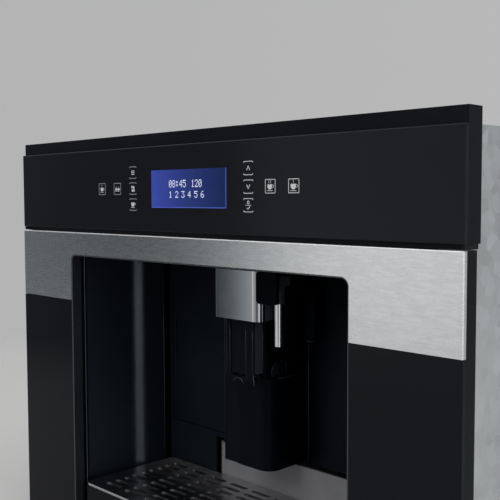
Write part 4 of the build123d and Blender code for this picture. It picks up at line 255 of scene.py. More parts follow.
# one finish for each material slot of the record
finishes = {finish.name: finish for finish in (
    dark_glass("control_glass", (0.0098, 0.0110, 0.0134)),
    dark_glass("door_glass", (0.0068, 0.0074, 0.0092)),
    plastic("carrier_plastic", (0.0034, 0.0038, 0.0055), 0.45, specular=0.06),
    brushed("fascia_steel", (0.60, 0.608, 0.614), 0.27, "X", 0.26),
    plastic("black_plastic", (0.0014, 0.0022, 0.0038), 0.28, strength=0.15, specular=0.07),
    layered("niche_plastic", (0.0012, 0.0022, 0.0042), ((5.0, 2.0), (0.0018, 0.0030, 0.0054)),
            ((8.0, 1.0), 0.17, 0.21), ((1500.0, 1.0), 0.03, 0.00001), specular=0.2),
    layered("chrome", (0.46, 0.47, 0.485), ((30.0, 3.0), (0.43, 0.44, 0.455)),
            ((60.0, 4.0), 0.05, 0.09), ((180.0, 2.0), 0.03, 0.00005), metallic=1.0),
    brushed("tube_steel", (0.74, 0.74, 0.75), 0.16, "Z", 0.12),
    sheet_metal("galvanised", (0.50, 0.52, 0.53), 0.42),
    brushed("rail_steel", (0.55, 0.56, 0.58), 0.34, "Y", 0.2),
    brushed("grid_steel", (0.52, 0.52, 0.53), 0.3, "Y", 0.25),
    plastic("clear_plastic", (0.62, 0.68, 0.73), 0.12, 700.0, 0.05).set(
        Transmission_Weight=0.72, IOR=1.46),
    plastic("smoke_plastic", (0.06, 0.06, 0.07), 0.14, 700.0, 0.05).set(
        Transmission_Weight=0.45, IOR=1.46),
    plastic("white_plastic", (0.70, 0.70, 0.67), 0.45),
    plastic("grey_plastic", (0.18, 0.18, 0.19), 0.48),
    plastic("red_plastic", (0.52, 0.03, 0.02), 0.3),
    layered("cast_aluminium", (0.52, 0.53, 0.54), ((60.0, 5.0), (0.38, 0.39, 0.40)),
            ((120.0, 4.0), 0.4, 0.62), ((1500.0, 3.0), 0.5, 0.00012), metallic=0.9),
    layered("motor_metal", (0.10, 0.10, 0.11), ((20.0, 4.0), (0.15, 0.15, 0.16)),
            ((80.0, 3.0), 0.3, 0.5), ((1.0, 2.0, (900, 900, 30)), 0.2, 0.00005), metallic=0.6),
    brushed("burr_steel", (0.5, 0.5, 0.51), 0.3, "Z", 0.2),
    plastic("rubber", (0.02, 0.02, 0.021), 0.75, 1400.0, 0.4),
    plastic("silicone", (0.66, 0.66, 0.61), 0.4, 1200.0, 0.12).set(
        Subsurface_Weight=0.25, Subsurface_Radius=(0.004, 0.003, 0.002)),
    circuit_board("board_green", (0.02, 0.14, 0.06)),
    plastic("display", (0.03, 0.05, 0.22), 0.2, 900.0, 0.04),
    layered("magnet", (0.09, 0.09, 0.095), ((200.0, 4.0), (0.14, 0.13, 0.13)),
            ((150.0,), 0.5, 0.7), ((2200.0, 3.0), 0.4, 0.00008), metallic=0.5),
    brushed("screw_steel", (0.56, 0.56, 0.55), 0.3, "Z", 0.15),
)}

# the nodes that the photo shows in a tone of their own; the back wall's tone is partly painted
# reflection and painted shade
liner_plastic = layered(
    "liner_plastic", (0.0014, 0.0030, 0.0064), ((5.0, 2.0), (0.0024, 0.0042, 0.0076)),
    ((8.0, 1.0), 0.385, 0.415), ((1500.0, 1.0), 0.03, 0.00001), specular=0.9)
liner_plastic.set(Specular_Tint=(0.80, 0.90, 1.0, 1.0))
column_plastic = plastic(
    "column_plastic", (0.0014, 0.0024, 0.0046), 0.26, strength=0.08, specular=0.03)
back_painted_light_plastic = plastic(
    "back_painted_light_plastic", (0.0066, 0.0088, 0.0126), 0.30, strength=0.08, specular=0.03)
# Painted light across the back wall, from left to right: lighter towards the column's left side, a
# painted reflection; dark behind the column and just right of it, a painted shade; a little lighter
# again further right.
for other, start, end in (((0.0155, 0.0185, 0.0235), -0.088, -0.042),
                          ((0.0005, 0.0010, 0.0026), -0.030, 0.0),
                          ((0.0042, 0.0058, 0.0086), 0.038, 0.062)):
    back_painted_light_plastic.tone(back_painted_light_plastic.across(), other, start, end)
ring_plastic = plastic(
    "ring_plastic", (0.0085, 0.0100, 0.0130), 0.35, strength=0.12, specular=0.3)
own_finish = {
    "opening_ring": ring_plastic,
    "cup_niche_liner": liner_plastic,
    "niche_back_panel": back_painted_light_plastic,
    "infuser_hatch": back_painted_light_plastic,
    "spout_column": column_plastic,
    "nozzle_socket": column_plastic,
}
slot_of = {part["node"]: part["material_slot"] for part in frame["record"]["subparts"]}
for node_name, node in frame["nodes"].items():
    finish = own_finish.get(node_name, finishes[slot_of[node_name]])
    for place in node.material_slots:
        place.material = finish.mat

# the finishes of the pieces that only this scene has
key_ink = print_ink("key_print", (0.62, 0.63, 0.64), (0.5, 0.51, 0.52))
dim_ink = print_ink("key_print_dim", (0.30, 0.305, 0.31), (0.24, 0.245, 0.25))
rim_ink = lit_ink("lit_rim", (0.06, 0.09, 0.42), (0.09, 0.13, 0.55), 90.0, specular=0.06)
dot_ink = lit_ink("lit_dots", (0.62, 0.70, 0.95), (0.80, 0.86, 1.0), 300.0)
seal_rubber = plastic("seal_rubber", (0.004, 0.0045, 0.006), 0.55, 1500.0, 0.3, 0.12)
# a near-white, mostly unmetallic finish for the fascia's upper edge: a painted highlight
edge_highlight_steel = layered("edge_highlight_steel", (0.84, 0.85, 0.86), ((60.0, 2.0), (0.76, 0.77, 0.78)),
                     ((30.0, 2.0), 0.34, 0.44), metallic=0.25)
edge_highlight_plastic, spout_plastic, nozzle_plastic, collar_plastic, side_painted_light_plastic, gloss_plastic = [
    plastic(name, colour, roughness, strength=strength, specular=specular)
    for name, colour, roughness, strength, specular in (
        # the edge lines: a lighter grey than the black parts they run along, a painted highlight on
        # those edges
        ("edge_highlight_plastic", (0.016, 0.018, 0.023), 0.22, 0.05, 0.35),
        ("spout_plastic", (0.0022, 0.0034, 0.0058), 0.24, 0.1, 0.03),
        ("nozzle_plastic", (0.0006, 0.0012, 0.0028), 0.30, 0.1, 0.02),
        ("collar_plastic", (0.032, 0.035, 0.041), 0.30, 0.1, 0.2),
        # the side plates: a lighter grey than the black fronts, painted light on the sides that
        # face the right
        ("side_painted_light_plastic", (0.046, 0.052, 0.064), 0.24, 0.1, 0.1),
        ("gloss_plastic", (0.010, 0.012, 0.015), 0.16, 0.03, 0.8))]


# ------------------------------------------------------------------ mesh makers
def spot(x, depth, z):
    """A place given in millimetres, in metres."""
    return Vector((x * MM, FRONT + depth * MM, z * MM))


def piece(name, bm, body, finish, smooth=False, bevel=0.0):
    """Makes an object of a bmesh, gives it its finish and lets it ride on a body."""
    bmesh.ops.recalc_face_normals(bm, faces=bm.faces[:])
    mesh = bpy.data.meshes.new(name)
    bm.to_mesh(mesh)
    bm.free()
    for face in mesh.polygons:
        face.use_smooth = smooth or bevel > 0
    mesh.materials.append(finish.mat)
    obj = bpy.data.objects.new(name, mesh)
    bpy.context.scene.collection.objects.link(obj)
    if bevel:
        edge = obj.modifiers.new("edges", "BEVEL")
        edge.width = bevel * MM
        edge.segments = 2
        edge.limit_method = "ANGLE"
        edge.harden_normals = True
    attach(obj, body)
    return obj


def turns(sides):
    """The angles of a round section."""
    return [2 * math.pi * k / sides for k in range(sides)]


def skin(bm, low, high):
    """Faces between two closed rows of points."""
    for k in range(len(low)):
        j = (k + 1) % len(low)
        bm.faces.new((low[k], low[j], high[j], high[k]))


def tube(bm, points, radii, sides):
    """A closed round bar along points (x, depth, z), with one radius or one a point."""
    count = len(points)
    if not isinstance(radii, (list, tuple)):
        radii = [radii] * count
    places = [spot(*point) for point in points]
    rings = []
    for i, place in enumerate(places):
        way = places[min(i + 1, count - 1)] - places[max(i - 1, 0)]
        turn = way.to_track_quat("Z", "Y")
        r = radii[i] * MM
        rings.append([bm.verts.new(place + turn @ Vector((r * math.cos(a), r * math.sin(a), 0)))
                      for a in turns(sides)])
    for low, high in zip(rings, rings[1:]):
        skin(bm, low, high)
    bm.faces.new(rings[0])
    bm.faces.new(rings[-1])


def bead(bm, line, depth, r, sides=10):
    """A closed round bead along an outline that faces the front."""
    rings = []
    for i, (x, z) in enumerate(line):
        (ax, az), (bx, bz) = line[i - 1], line[(i + 1) % len(line)]
        size = math.hypot(bx - ax, bz - az)
        nx, nz = (bz - az) / size, (ax - bx) / size
        rings.append([bm.verts.new(spot(x + nx * r * math.cos(a), depth + r * math.sin(a),
                                        z + nz * r * math.cos(a))) for a in turns(sides)])
    for i, high in enumerate(rings):
        skin(bm, rings[i - 1], high)


def slab(bm, outline, low, high):
    """Extrudes a closed outline (x, z) between two depths."""
    near = [bm.verts.new(spot(x, low, z)) for x, z in outline]
    far = [bm.verts.new(spot(x, high, z)) for x, z in outline]
    bm.faces.new(near)
    bm.faces.new(far)
    skin(bm, near, far)


def box(bm, x0, x1, d0, d1, z0, z1):
    slab(bm, [(x0, z0), (x1, z0), (x1, z1), (x0, z1)], d0, d1)


def framed(bm, outer, inner, low, high):
    """A layer between two depths with a hole; both outlines have as many points."""
    out_low, out_high, in_low, in_high = [
        [bm.verts.new(spot(x, level, z)) for x, z in line]
        for line in (outer, inner) for level in (low, high)]
    skin(bm, out_low, in_low)
    skin(bm, out_high, in_high)
    skin(bm, out_low, out_high)
    skin(bm, in_low, in_high)


def stroke(bm, points, width, low, high, closed=False):
    """A flat band of even width along a line of points (x, z)."""
    count = len(points)
    left, right = [], []
    for i, (x, z) in enumerate(points):
        before = points[i - 1] if (i > 0 or closed) else points[i]
        after = points[(i + 1) % count] if (i < count - 1 or closed) else points[i]
        dx, dz = after[0] - before[0], after[1] - before[1]
        size = math.hypot(dx, dz) or 1.0
        nx, nz = -dz / size * width / 2, dx / size * width / 2
        left.append((x + nx, z + nz))
        right.append((x - nx, z - nz))
    for i in range(count if closed else count - 1):
        j = (i + 1) % count
        slab(bm, [left[i], left[j], right[j], right[i]], low, high)


def arc(cx, cz, rx, rz, start, end, steps):
    """Points of an ellipse between two angles, in degrees."""
    angles = [math.radians(start + (end - start) * i / steps) for i in range(steps + 1)]
    return [(cx + rx * math.cos(a), cz + rz * math.sin(a)) for a in angles]


def rounded(x0, x1, z0, z1, r, steps):
    """The outline of a rectangle with round corners."""
    return (arc(x1 - r, z0 + r, r, r, -90, 0, steps)
            + arc(x1 - r, z1 - r, r, r, 0, 90, steps)
            + arc(x0 + r, z1 - r, r, r, 90, 180, steps)
            + arc(x0 + r, z0 + r, r, r, 180, 270, steps))


def upright(bm, x, depth, levels, radii, sides):
    """A round bar that stands upright, with a radius at each level."""
    tube(bm, [(x, depth, z) for z in levels], radii, sides)


def bars(name, body, finish, rows):
    """A piece of round bars; a row holds a bar's points, radius and number of sides."""
    bm = bmesh.new()
    for points, radii, sides in rows:
        tube(bm, points, radii, sides)
    return piece(name, bm, body, finish, smooth=True)


# ------------------------------------------------------------------ touch keys
KEY_SIZE = 12.2
UPPER_ROW, MIDDLE_ROW, LOWER_ROW = KEY_ROWS = (416.9, 400.8, 384.6)
FRAMED_COLUMNS = (-134.2, -107.2, 111.8, 138.6)
LEFT_COLUMN, RIGHT_COLUMN = -80.5, 85.3  # the keys between brackets, beside the display
FRAME_INSET, FRAME_CORNER, FRAME_LINE = 0.35, 0.5, 0.58
BRACKET_INSET, BRACKET_LINE = 0.3, 0.6
BRACKET_END = ((0.0, 1.1), (0.3, 0.4), (1.0, 0.0))      # (in from the end, back to the key)
HANDLE_LINE, SAUCER_LINE, STEAM_LINE = 0.45, 0.5, 0.35
ARROW_HALF, ARROW_FOOT, ARROW_LINE = 1.9, 1.7, 0.95
BAR_HALF, BAR_PITCH, BAR_LINE = 2.6, 1.7, 0.75
BEANS = ((-1.5, 1.6), (1.4, 1.0), (-1.0, -1.8), (1.7, -2.0))
BEAN_RADII = (1.15, 1.5)
DIVIDER_HALF, DIVIDER_LINE = 3.6, 0.45
RING_RISE, RING_RADIUS, RING_LINE = 2.4, 1.2, 0.7
TICK, TICK_LINE = ((-1.8, -2.2), (-0.4, -3.4), (2.0, -1.2)), 0.8
LEFT_CUPS = (                           # x, z, size and lines of steam
    (FRAMED_COLUMNS[0] - 0.5, MIDDLE_ROW - 0.4, 2.4, 1),
    (FRAMED_COLUMNS[1] - 2.1, MIDDLE_ROW - 0.6, 1.5, 1),
    (FRAMED_COLUMNS[1] + 2.0, MIDDLE_ROW - 0.6, 1.5, 1),
    (LEFT_COLUMN - 0.4, LOWER_ROW + 0.2, 2.6, 0),
)
RIGHT_CUPS = (
    (FRAMED_COLUMNS[2] - 0.5, MIDDLE_ROW - 0.5, 2.7, 2),
    (FRAMED_COLUMNS[3] - 0.5, MIDDLE_ROW - 0.5, 2.9, 1),
)
INK = (0.22, 0.30)                      # depths of the print, in the glass's print layer
LIT = (0.18, 0.21)                      # depths of what lies on the lit field


def ink_line(bm, points, width, closed=False):
    stroke(bm, points, width, *INK, closed)


def key_frame(bm, x, z):
    half = KEY_SIZE / 2 - FRAME_INSET
    ink_line(bm, rounded(x - half, x + half, z - half, z + half, FRAME_CORNER, 4), FRAME_LINE, True)


def key_brackets(bm, x, z):
    half = KEY_SIZE / 2 - BRACKET_INSET
    for side in (-1, 1):
        level = z + side * half
        left = [(x - half + inward, level - side * back) for inward, back in BRACKET_END]
        right = [(x + half - inward, level - side * back) for inward, back in reversed(BRACKET_END)]
        ink_line(bm, left + right, BRACKET_LINE)


def cup(bm, x, z, size, steam):
    """A plain cup on a saucer, seen from the side; size is half the cup's width."""
    rim, saucer, half = z + size * 0.75, z - size * 1.2, size * 1.2
    bowl = arc(x, z + size * 0.1, size, size * 0.95, 180, 360, 12)
    slab(bm, [(x - size, rim)] + bowl + [(x + size, rim)], *INK)
    ink_line(bm, arc(x + size * 1.15, z + size * 0.15, size * 0.5, size * 0.42, -100, 110, 8),
             HANDLE_LINE)
    ink_line(bm, [(x - half, saucer), (x + half, saucer)], SAUCER_LINE)
    for i in range(steam):
        sx = x + (i - (steam - 1) / 2) * size * 0.8
        wave = [(sx + 0.25 * math.sin(t * 1.6), z + size * (1.05 + 0.2 * t)) for t in range(6)]
        ink_line(bm, wave, STEAM_LINE)


def arrow(bm, x, z, way):
    ink_line(bm, [(x - ARROW_HALF, z - way * ARROW_FOOT), (x, z + way * ARROW_HALF),
                  (x + ARROW_HALF, z - way * ARROW_FOOT)], ARROW_LINE)


bm = bmesh.new()
for column in FRAMED_COLUMNS[:2]:
    key_frame(bm, column, MIDDLE_ROW)
for row in KEY_ROWS:
    key_brackets(bm, LEFT_COLUMN, row)
piece("key_frames_left", bm, "machine", dim_ink)

# left: one cup, two cups, and in the brackets bars, beans and a cup
bm = bmesh.new()
for sign in LEFT_CUPS:
    cup(bm, *sign)
for i in (-1, 0, 1):
    level = UPPER_ROW + i * BAR_PITCH
    ink_line(bm, [(LEFT_COLUMN - BAR_HALF, level), (LEFT_COLUMN + BAR_HALF, level)], BAR_LINE)
for x, z in BEANS:
    slab(bm, arc(LEFT_COLUMN + x, MIDDLE_ROW + z, *BEAN_RADII, 0, 340, 12), *INK)
piece("key_signs_left", bm, "machine", key_ink)

# right: a cup on each framed key, and in the brackets two arrows and a ring over a tick
bm = bmesh.new()
for column in FRAMED_COLUMNS[2:]:
    key_frame(bm, column, MIDDLE_ROW)
for row in KEY_ROWS:
    key_brackets(bm, RIGHT_COLUMN, row)
for sign in RIGHT_CUPS:
    cup(bm, *sign)
arrow(bm, RIGHT_COLUMN, UPPER_ROW, 1)
arrow(bm, RIGHT_COLUMN, MIDDLE_ROW, -1)
ink_line(bm, [(RIGHT_COLUMN - DIVIDER_HALF, LOWER_ROW), (RIGHT_COLUMN + DIVIDER_HALF, LOWER_ROW)],
         DIVIDER_LINE)
ring = arc(RIGHT_COLUMN, LOWER_ROW + RING_RISE, RING_RADIUS, RING_RADIUS, 0, 330, 12)
ink_line(bm, ring, RING_LINE, True)
ink_line(bm, [(RIGHT_COLUMN + x, LOWER_ROW + z) for x, z in TICK], TICK_LINE)
piece("key_signs_right", bm, "machine", key_ink)


# ------------------------------------------------------------------ display
SCREEN_LEFT, SCREEN_RIGHT, SCREEN_LOW, SCREEN_HIGH = SCREEN = (-50.3, 57.4, 381.7, 418.2)
SCREEN_CORNER = 0.4
RIM_INSET, RIM_LINE, RIM_GAP, RIM_SIDE = 0.4, 0.8, 1.2, 0.9
SCREEN_TONES = ((0.045, 0.070, 0.37, 1), (0.022, 0.038, 0.175, 1), (0.010, 0.021, 0.082, 1))
DIGITS = {
    "0": "01110100011001110101110011000101110", "1": "00100011000010000100001000010001110",
    "2": "01110100010000100010001000100011111", "3": "11111000100010000010000011000101110",
    "4": "00010001100101010010111110001000010", "5": "11111100001111000001000011000101110",
    "6": "00110010001000011110100011000101110", "8": "01110100011000101110100011000101110",
    ":": "00000011000110000000011000110000000",
}
DIGIT_WIDTH, SIGN_PITCH, BLANK_PITCH = 5, 6, 4          # in dots
DOT_FILL = 0.9                          # the lit share of a dot's place
TEXT_LEFT = -23.0
TEXT_LINES = (("08:45  120", 408.2, 0.86, 1.0), ("1 2 3 4 5 6", 397.6, 0.92, 0.9))


def lit_field():
    """The lit screen: an even blue that falls off to the right, with faint clouds."""
    f = Finish("lit_screen", (0.0, 0.0, 0.0), specular=0.06).set(Roughness=0.3)
    ramp = f.node("ShaderNodeValToRGB")
    ramp.color_ramp.elements[0].color = SCREEN_TONES[0]
    ramp.color_ramp.elements[1].color = SCREEN_TONES[2]
    ramp.color_ramp.elements.new(0.5).color = SCREEN_TONES[1]
    f.link(f.remap(f.across(), 0.0, 1.0, SCREEN_LEFT * MM, SCREEN_RIGHT * MM), ramp.inputs[0])
    clouds = f.node("ShaderNodeMix", data_type="RGBA", blend_type="MULTIPLY")
    clouds.inputs["B"].default_value = (0.8, 0.8, 0.9, 1)
    f.link(ramp.outputs[0], clouds.inputs["A"])
    f.link(f.remap(f.noise(60.0), 0.0, 0.6), clouds.inputs["Factor"])
    f.shine(clouds.outputs["Result"])
    return f


def dots(bm, text, x, z, pitch, tall):
    """Numbers from small lit squares, five by seven to a place."""
    for sign in text:
        if sign == " ":
            x += pitch * BLANK_PITCH
            continue
        for i, lit in enumerate(DIGITS[sign]):
            if lit == "1":
                px = x + (i % DIGIT_WIDTH) * pitch
                pz = z - (i // DIGIT_WIDTH) * tall
                box(bm, px, px + pitch * DOT_FILL, *LIT, pz, pz - tall * DOT_FILL)
        x += pitch * SIGN_PITCH


bm = bmesh.new()
slab(bm, rounded(*SCREEN, SCREEN_CORNER, 2), *INK)
piece("display_screen", bm, "machine", lit_field())
bm = bmesh.new()
stroke(bm, [(SCREEN_LEFT + RIM_INSET, SCREEN_LOW + RIM_INSET),
            (SCREEN_RIGHT - RIM_GAP, SCREEN_LOW + RIM_INSET)], RIM_LINE, *LIT)
box(bm, SCREEN_RIGHT - RIM_SIDE, SCREEN_RIGHT, *LIT, SCREEN_LOW, SCREEN_HIGH)
piece("display_rim", bm, "machine", rim_ink)
bm = bmesh.new()
for text, z, pitch, tall in TEXT_LINES:
    dots(bm, text, TEXT_LEFT, z, pitch, tall)
piece("display_numbers", bm, "machine", dot_ink)


# ------------------------------------------------------------------ seal, steel edge and ring
SEAL_END, SEAL_LOW, SEAL_HIGH = 296.0, 354.0, 358.4
SEAL_NEAR, SEAL_BACK, SEAL_DEEP = 5.5, 9.0, 21.5
RETURN_END = 292.0
BLOCK_OUTER, BLOCK_INNER, BLOCK_NEAR, BLOCK_LOW = 297.0, 294.5, 1.6, 354.3
EDGE_END, EDGE_TAPER, EDGE_DEPTH, EDGE_Z = 296.8, 0.9, 0.75, 352.9
EDGE_RADII = (0.4, 0.72, 0.72, 0.4)
OPENING = (195.9, 30.6, 328.4, 7.4)     # half width, low, high and corner of the ring's outline
RING_BEADS = ((0.0, 1.0, 0.95), (0.6, 16.7, 0.7))       # inset, depth and radius
GROOVE_NEAR, GROOVE_FAR = 12.4, 15.7
LINER_SIDE, LINER_LOW, LINER_HIGH = 191.4, 40.0, 330.0
SEAM_DEPTH, SEAM_RADIUS = 127.6, 0.6
GAP_HALF, GAP_NEAR, GAP_FAR = 0.2, 128.4, 137.4


def opening_line(inset):
    half, low, high, corner = OPENING
    return rounded(inset - half, half - inset, low + inset, high - inset, corner - inset, 6)


# the seal behind the gap under the glass, with returns and end blocks
bm = bmesh.new()
box(bm, -SEAL_END, SEAL_END, SEAL_NEAR, SEAL_BACK, SEAL_LOW, SEAL_HIGH)
for side in (-1, 1):
    box(bm, side * SEAL_END, side * RETURN_END, SEAL_BACK, SEAL_DEEP, SEAL_LOW, SEAL_HIGH)
    box(bm, side * BLOCK_OUTER, side * BLOCK_INNER, BLOCK_NEAR, SEAL_NEAR, BLOCK_LOW, SEAL_HIGH)
piece("gap_seal", bm, "machine", seal_rubber)

# the polished upper edge of the steel fascia, thinner at its ends; its near-white finish is a
# painted highlight along the edge
edge_line = [(x, EDGE_DEPTH, EDGE_Z)
             for x in (-EDGE_END, EDGE_TAPER - EDGE_END, EDGE_END - EDGE_TAPER, EDGE_END)]
bars("fascia_edge", "service_door", edge_highlight_steel, [(edge_line, EDGE_RADII, 10)])

# beads and groove on the opening's ring; the groove is a thin dark band, a painted shade
bm = bmesh.new()
for inset, depth, radius in RING_BEADS:
    bead(bm, opening_line(inset), depth, radius)
piece("ring_beads", bm, "service_door", gloss_plastic, smooth=True)
bm = bmesh.new()
framed(bm, opening_line(0.4), opening_line(0.8), GROOVE_NEAR, GROOVE_FAR)
piece("ring_groove_shade", bm, "service_door", nozzle_plastic)

# seams and gaps at the rear end of the liner: the seams are lighter lines, a painted highlight, and
# the gaps hold thin dark strips, a painted shade
bars("liner_seams", "machine", edge_highlight_plastic,
     [([(x, SEAM_DEPTH, LINER_LOW), (x, SEAM_DEPTH, LINER_HIGH)], SEAM_RADIUS, 8)
      for x in (-LINER_SIDE, LINER_SIDE)])
bm = bmesh.new()
for x in (-LINER_SIDE, LINER_SIDE):
    box(bm, x - GAP_HALF, x + GAP_HALF, GAP_NEAR, GAP_FAR, LINER_LOW, LINER_HIGH)
piece("liner_gap_shade", bm, "machine", nozzle_plastic)


# ------------------------------------------------------------------ spout
SPOUT_SIDE, SPOUT_NEAR, SPOUT_FAR = 20.3, 72.0, 85.0
SPOUT_LOW, SPOUT_HIGH, SPOUT_CORNER = 206.0, 317.0, 0.8
SPOUT_REAR = 84.5                       # depth of the side's rear edge line
PANEL = (-14.0, 8.6, 210.0, 302.0)      # left, right, low and high of the sunken panel
PANEL_CORNER, PANEL_SINK = 3.0, 1.2
GUIDE_HALF, GUIDE_NEAR = 32.4, 74.5     # the ribs that hold the body in the cover
GUIDE_LEVELS = ((273.0, 277.0), (309.0, 313.0))
OUTLETS, OUTLET_DEPTH = (-13.0, 13.0), 78.5
OUTLET_LEVELS, OUTLET_RADII = (219.0, 206.5, 205.5), (3.2, 3.2, 2.8)
SHELL_SETBACK = 6.0                     # how far the shell's rear stops above its lower edge
BODY_PLATE = (SPOUT_SIDE - 0.5, SPOUT_SIDE + 0.15, 73.4, 84.0, SPOUT_LOW + 8, 316.0)
COVER_PLATE = (33.6, 34.15, 74.0, 86.3, 269.6, 318.4)
COVER_EDGE = 269.0                      # the edge lines end at the cover
HOOK_DEPTH, HOOK_Z = 0.5, 201.5

bm = bmesh.new()
box(bm, -SPOUT_SIDE, SPOUT_SIDE, SPOUT_NEAR + PANEL_SINK, SPOUT_FAR,
    SPOUT_LOW + SHELL_SETBACK, SPOUT_HIGH)
framed(bm, rounded(-SPOUT_SIDE, SPOUT_SIDE, SPOUT_LOW, SPOUT_HIGH, SPOUT_CORNER, 3),
       rounded(*PANEL, PANEL_CORNER, 3), SPOUT_NEAR, SPOUT_NEAR + PANEL_SINK)
for low, high in GUIDE_LEVELS:
    box(bm, -GUIDE_HALF, GUIDE_HALF, GUIDE_NEAR, SPOUT_FAR, low, high)
for x in OUTLETS:
    upright(bm, x, OUTLET_DEPTH, OUTLET_LEVELS, OUTLET_RADII, 20)
spout_piece = piece("spout_body_shell", bm, "spout", spout_plastic, bevel=0.35)
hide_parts("spout_body")

# thin plates on the right side of the body and of the cover, lighter than the fronts: painted light
bm = bmesh.new()
box(bm, *BODY_PLATE)
box(bm, *COVER_PLATE)
piece("spout_side", bm, "spout", side_painted_light_plastic, bevel=0.1)

# upright lines on the front, with their upper ends; like all the lines here they are a lighter
# grey, a painted highlight along the spout's edges
front_lines = [([(x, SPOUT_NEAR, SPOUT_LOW + 2.5), (x, SPOUT_NEAR, high)], 0.42, 8)
               for x, high in ((-19.9, SPOUT_HIGH), (PANEL[0] - 0.3, COVER_EDGE),
                               (PANEL[1] + 0.3, COVER_EDGE), (18.4, COVER_EDGE))]
bars("spout_edges", "spout", edge_highlight_plastic, front_lines + [
    # rear edge of the body's side, and lower edge of the cover's side
    ([(SPOUT_SIDE, SPOUT_REAR, SPOUT_LOW + 7), (SPOUT_SIDE, SPOUT_REAR, COVER_EDGE)], 0.75, 8),
    ([(34.05, 73.5, 269.5), (34.05, 86.2, 269.5)], 0.4, 8),
    # arch below the panel
    ([(x, SPOUT_NEAR, z) for x, z in arc(-2.4, 199.5, 8.6, 8.4, 150, 25, 12)], 0.55, 8),
    # lower edge round the right corner, and the small hook under it
    ([(18.4, SPOUT_NEAR, 213.0), (20.0, SPOUT_NEAR, 212.6), (20.2, 77.0, 212.4),
      (20.2, SPOUT_REAR, 212.2)], 0.6, 8),
    ([(20.0, SPOUT_NEAR, 212.6), (20.2, SPOUT_NEAR + 0.2, 206.0),
      (20.0, SPOUT_NEAR + HOOK_DEPTH, HOOK_Z)], (0.8, 0.8, 0.6), 8),
])


# ------------------------------------------------------------------ column and back wall
COLUMN_SIDE = 22.0
ARCH_DEPTH, ARCH_Z, ARCH_RISE = 106.8, 214.6, 9.0       # centre and height of the arch
ARCH_HALF = 11.0
ARCH_START, ARCH_END = (95.6, 209.0), (117.8, 205.5)    # depth and height
ARCH_FOOT = ((88.0, 205.0), (91.0, 203.4), (93.6, 204.8), ARCH_START)
ARCH_LINE_X = COLUMN_SIDE + 0.1
RIB_LOW, RIB_FALL, RIB_RADIUS = 208.6, 0.4, 0.32
RIB_X, RIB_REACH, RIB_COUNT, RIB_PITCH = COLUMN_SIDE - 1.0, 9.4, 9, 1.5
FOOT_EDGE_Z = 207.0
WALL_LINE = 137.8                       # depth of the lines on the back wall
APRON_LEFT, APRON_RIGHT = -37.2, -12.0
APRON_NEAR, APRON_FAR, APRON_LOW, APRON_HIGH = 86.2, 89.0, 112.5, 333.0
APRON_LIP = (APRON_LEFT, -35.9, 85.7, APRON_NEAR, APRON_LOW, APRON_HIGH)
APRON_RIB = (-30.5, -29.3, 86.0, APRON_NEAR, 200.0, APRON_HIGH)
CATCH_BODY = (36.5, 44.0, 131.0, 138.0, 244.0, 262.0)
CATCH_HEAD = (38.5, 44.0, 129.5, 138.0, 262.0, 268.5)
CATCH_FOOT = (35.5, 44.5, 133.0, 138.0, 242.0, 244.0)

arch_line = [ARCH_START, *arc(ARCH_DEPTH, ARCH_Z, ARCH_HALF, ARCH_RISE, 180, 0, 14), ARCH_END]
# Lighter grey lines along the column's edges and the wall's seams: painted highlights.
bars("column_edges", "machine", edge_highlight_plastic, [
    # the arch on the column's side, and the curve in front of it
    ([(ARCH_LINE_X, depth, z) for depth, z in arch_line], 0.5, 8),
    ([(ARCH_LINE_X, depth, z) for depth, z in ARCH_FOOT], 0.45, 8),
    # upper edge of the column's foot
    ([(28.0, 100.0, FOOT_EDGE_Z), (28.0, 137.5, FOOT_EDGE_Z)], 0.4, 8),
    # seams on the wall, right and left of the column
    ([(35.0, WALL_LINE, 112.0), (35.0, WALL_LINE, 243.0)], 0.55, 8),
    ([(-86.0, WALL_LINE + 0.1, 118.0), (-86.0, WALL_LINE + 0.1, 322.0)], 0.25, 6),
    # the apron's left edge
    ([(-36.9, 85.8, 113.0), (-36.9, 85.8, 332.0)], 0.35, 8),
])


def arch_rib(z):
    """A rib across the arch at a height, shorter towards the arch's top."""
    rise = max(0.0, z - ARCH_Z) / ARCH_RISE
    reach = RIB_REACH * math.sqrt(max(0.0, 1 - rise ** 2))
    points = [(RIB_X, ARCH_DEPTH - reach, z), (RIB_X, ARCH_DEPTH + reach, z - RIB_FALL)]
    return points, RIB_RADIUS, 6


bars("arch_ribs", "machine", collar_plastic,
     [arch_rib(RIB_LOW + i * RIB_PITCH) for i in range(RIB_COUNT)])

# the apron beside the column, behind the spout, with a lip and a rib
bm = bmesh.new()
box(bm, APRON_LEFT, APRON_RIGHT, APRON_NEAR, APRON_FAR, APRON_LOW, APRON_HIGH)
box(bm, *APRON_LIP)
box(bm, *APRON_RIB)
piece("column_apron", bm, "machine", spout_plastic, bevel=0.5)

# the catch on the back wall, under the nozzle's socket
bm = bmesh.new()
for part in (CATCH_BODY, CATCH_HEAD, CATCH_FOOT):
    box(bm, *part)
piece("wall_catch", bm, "machine", collar_plastic, bevel=0.6)


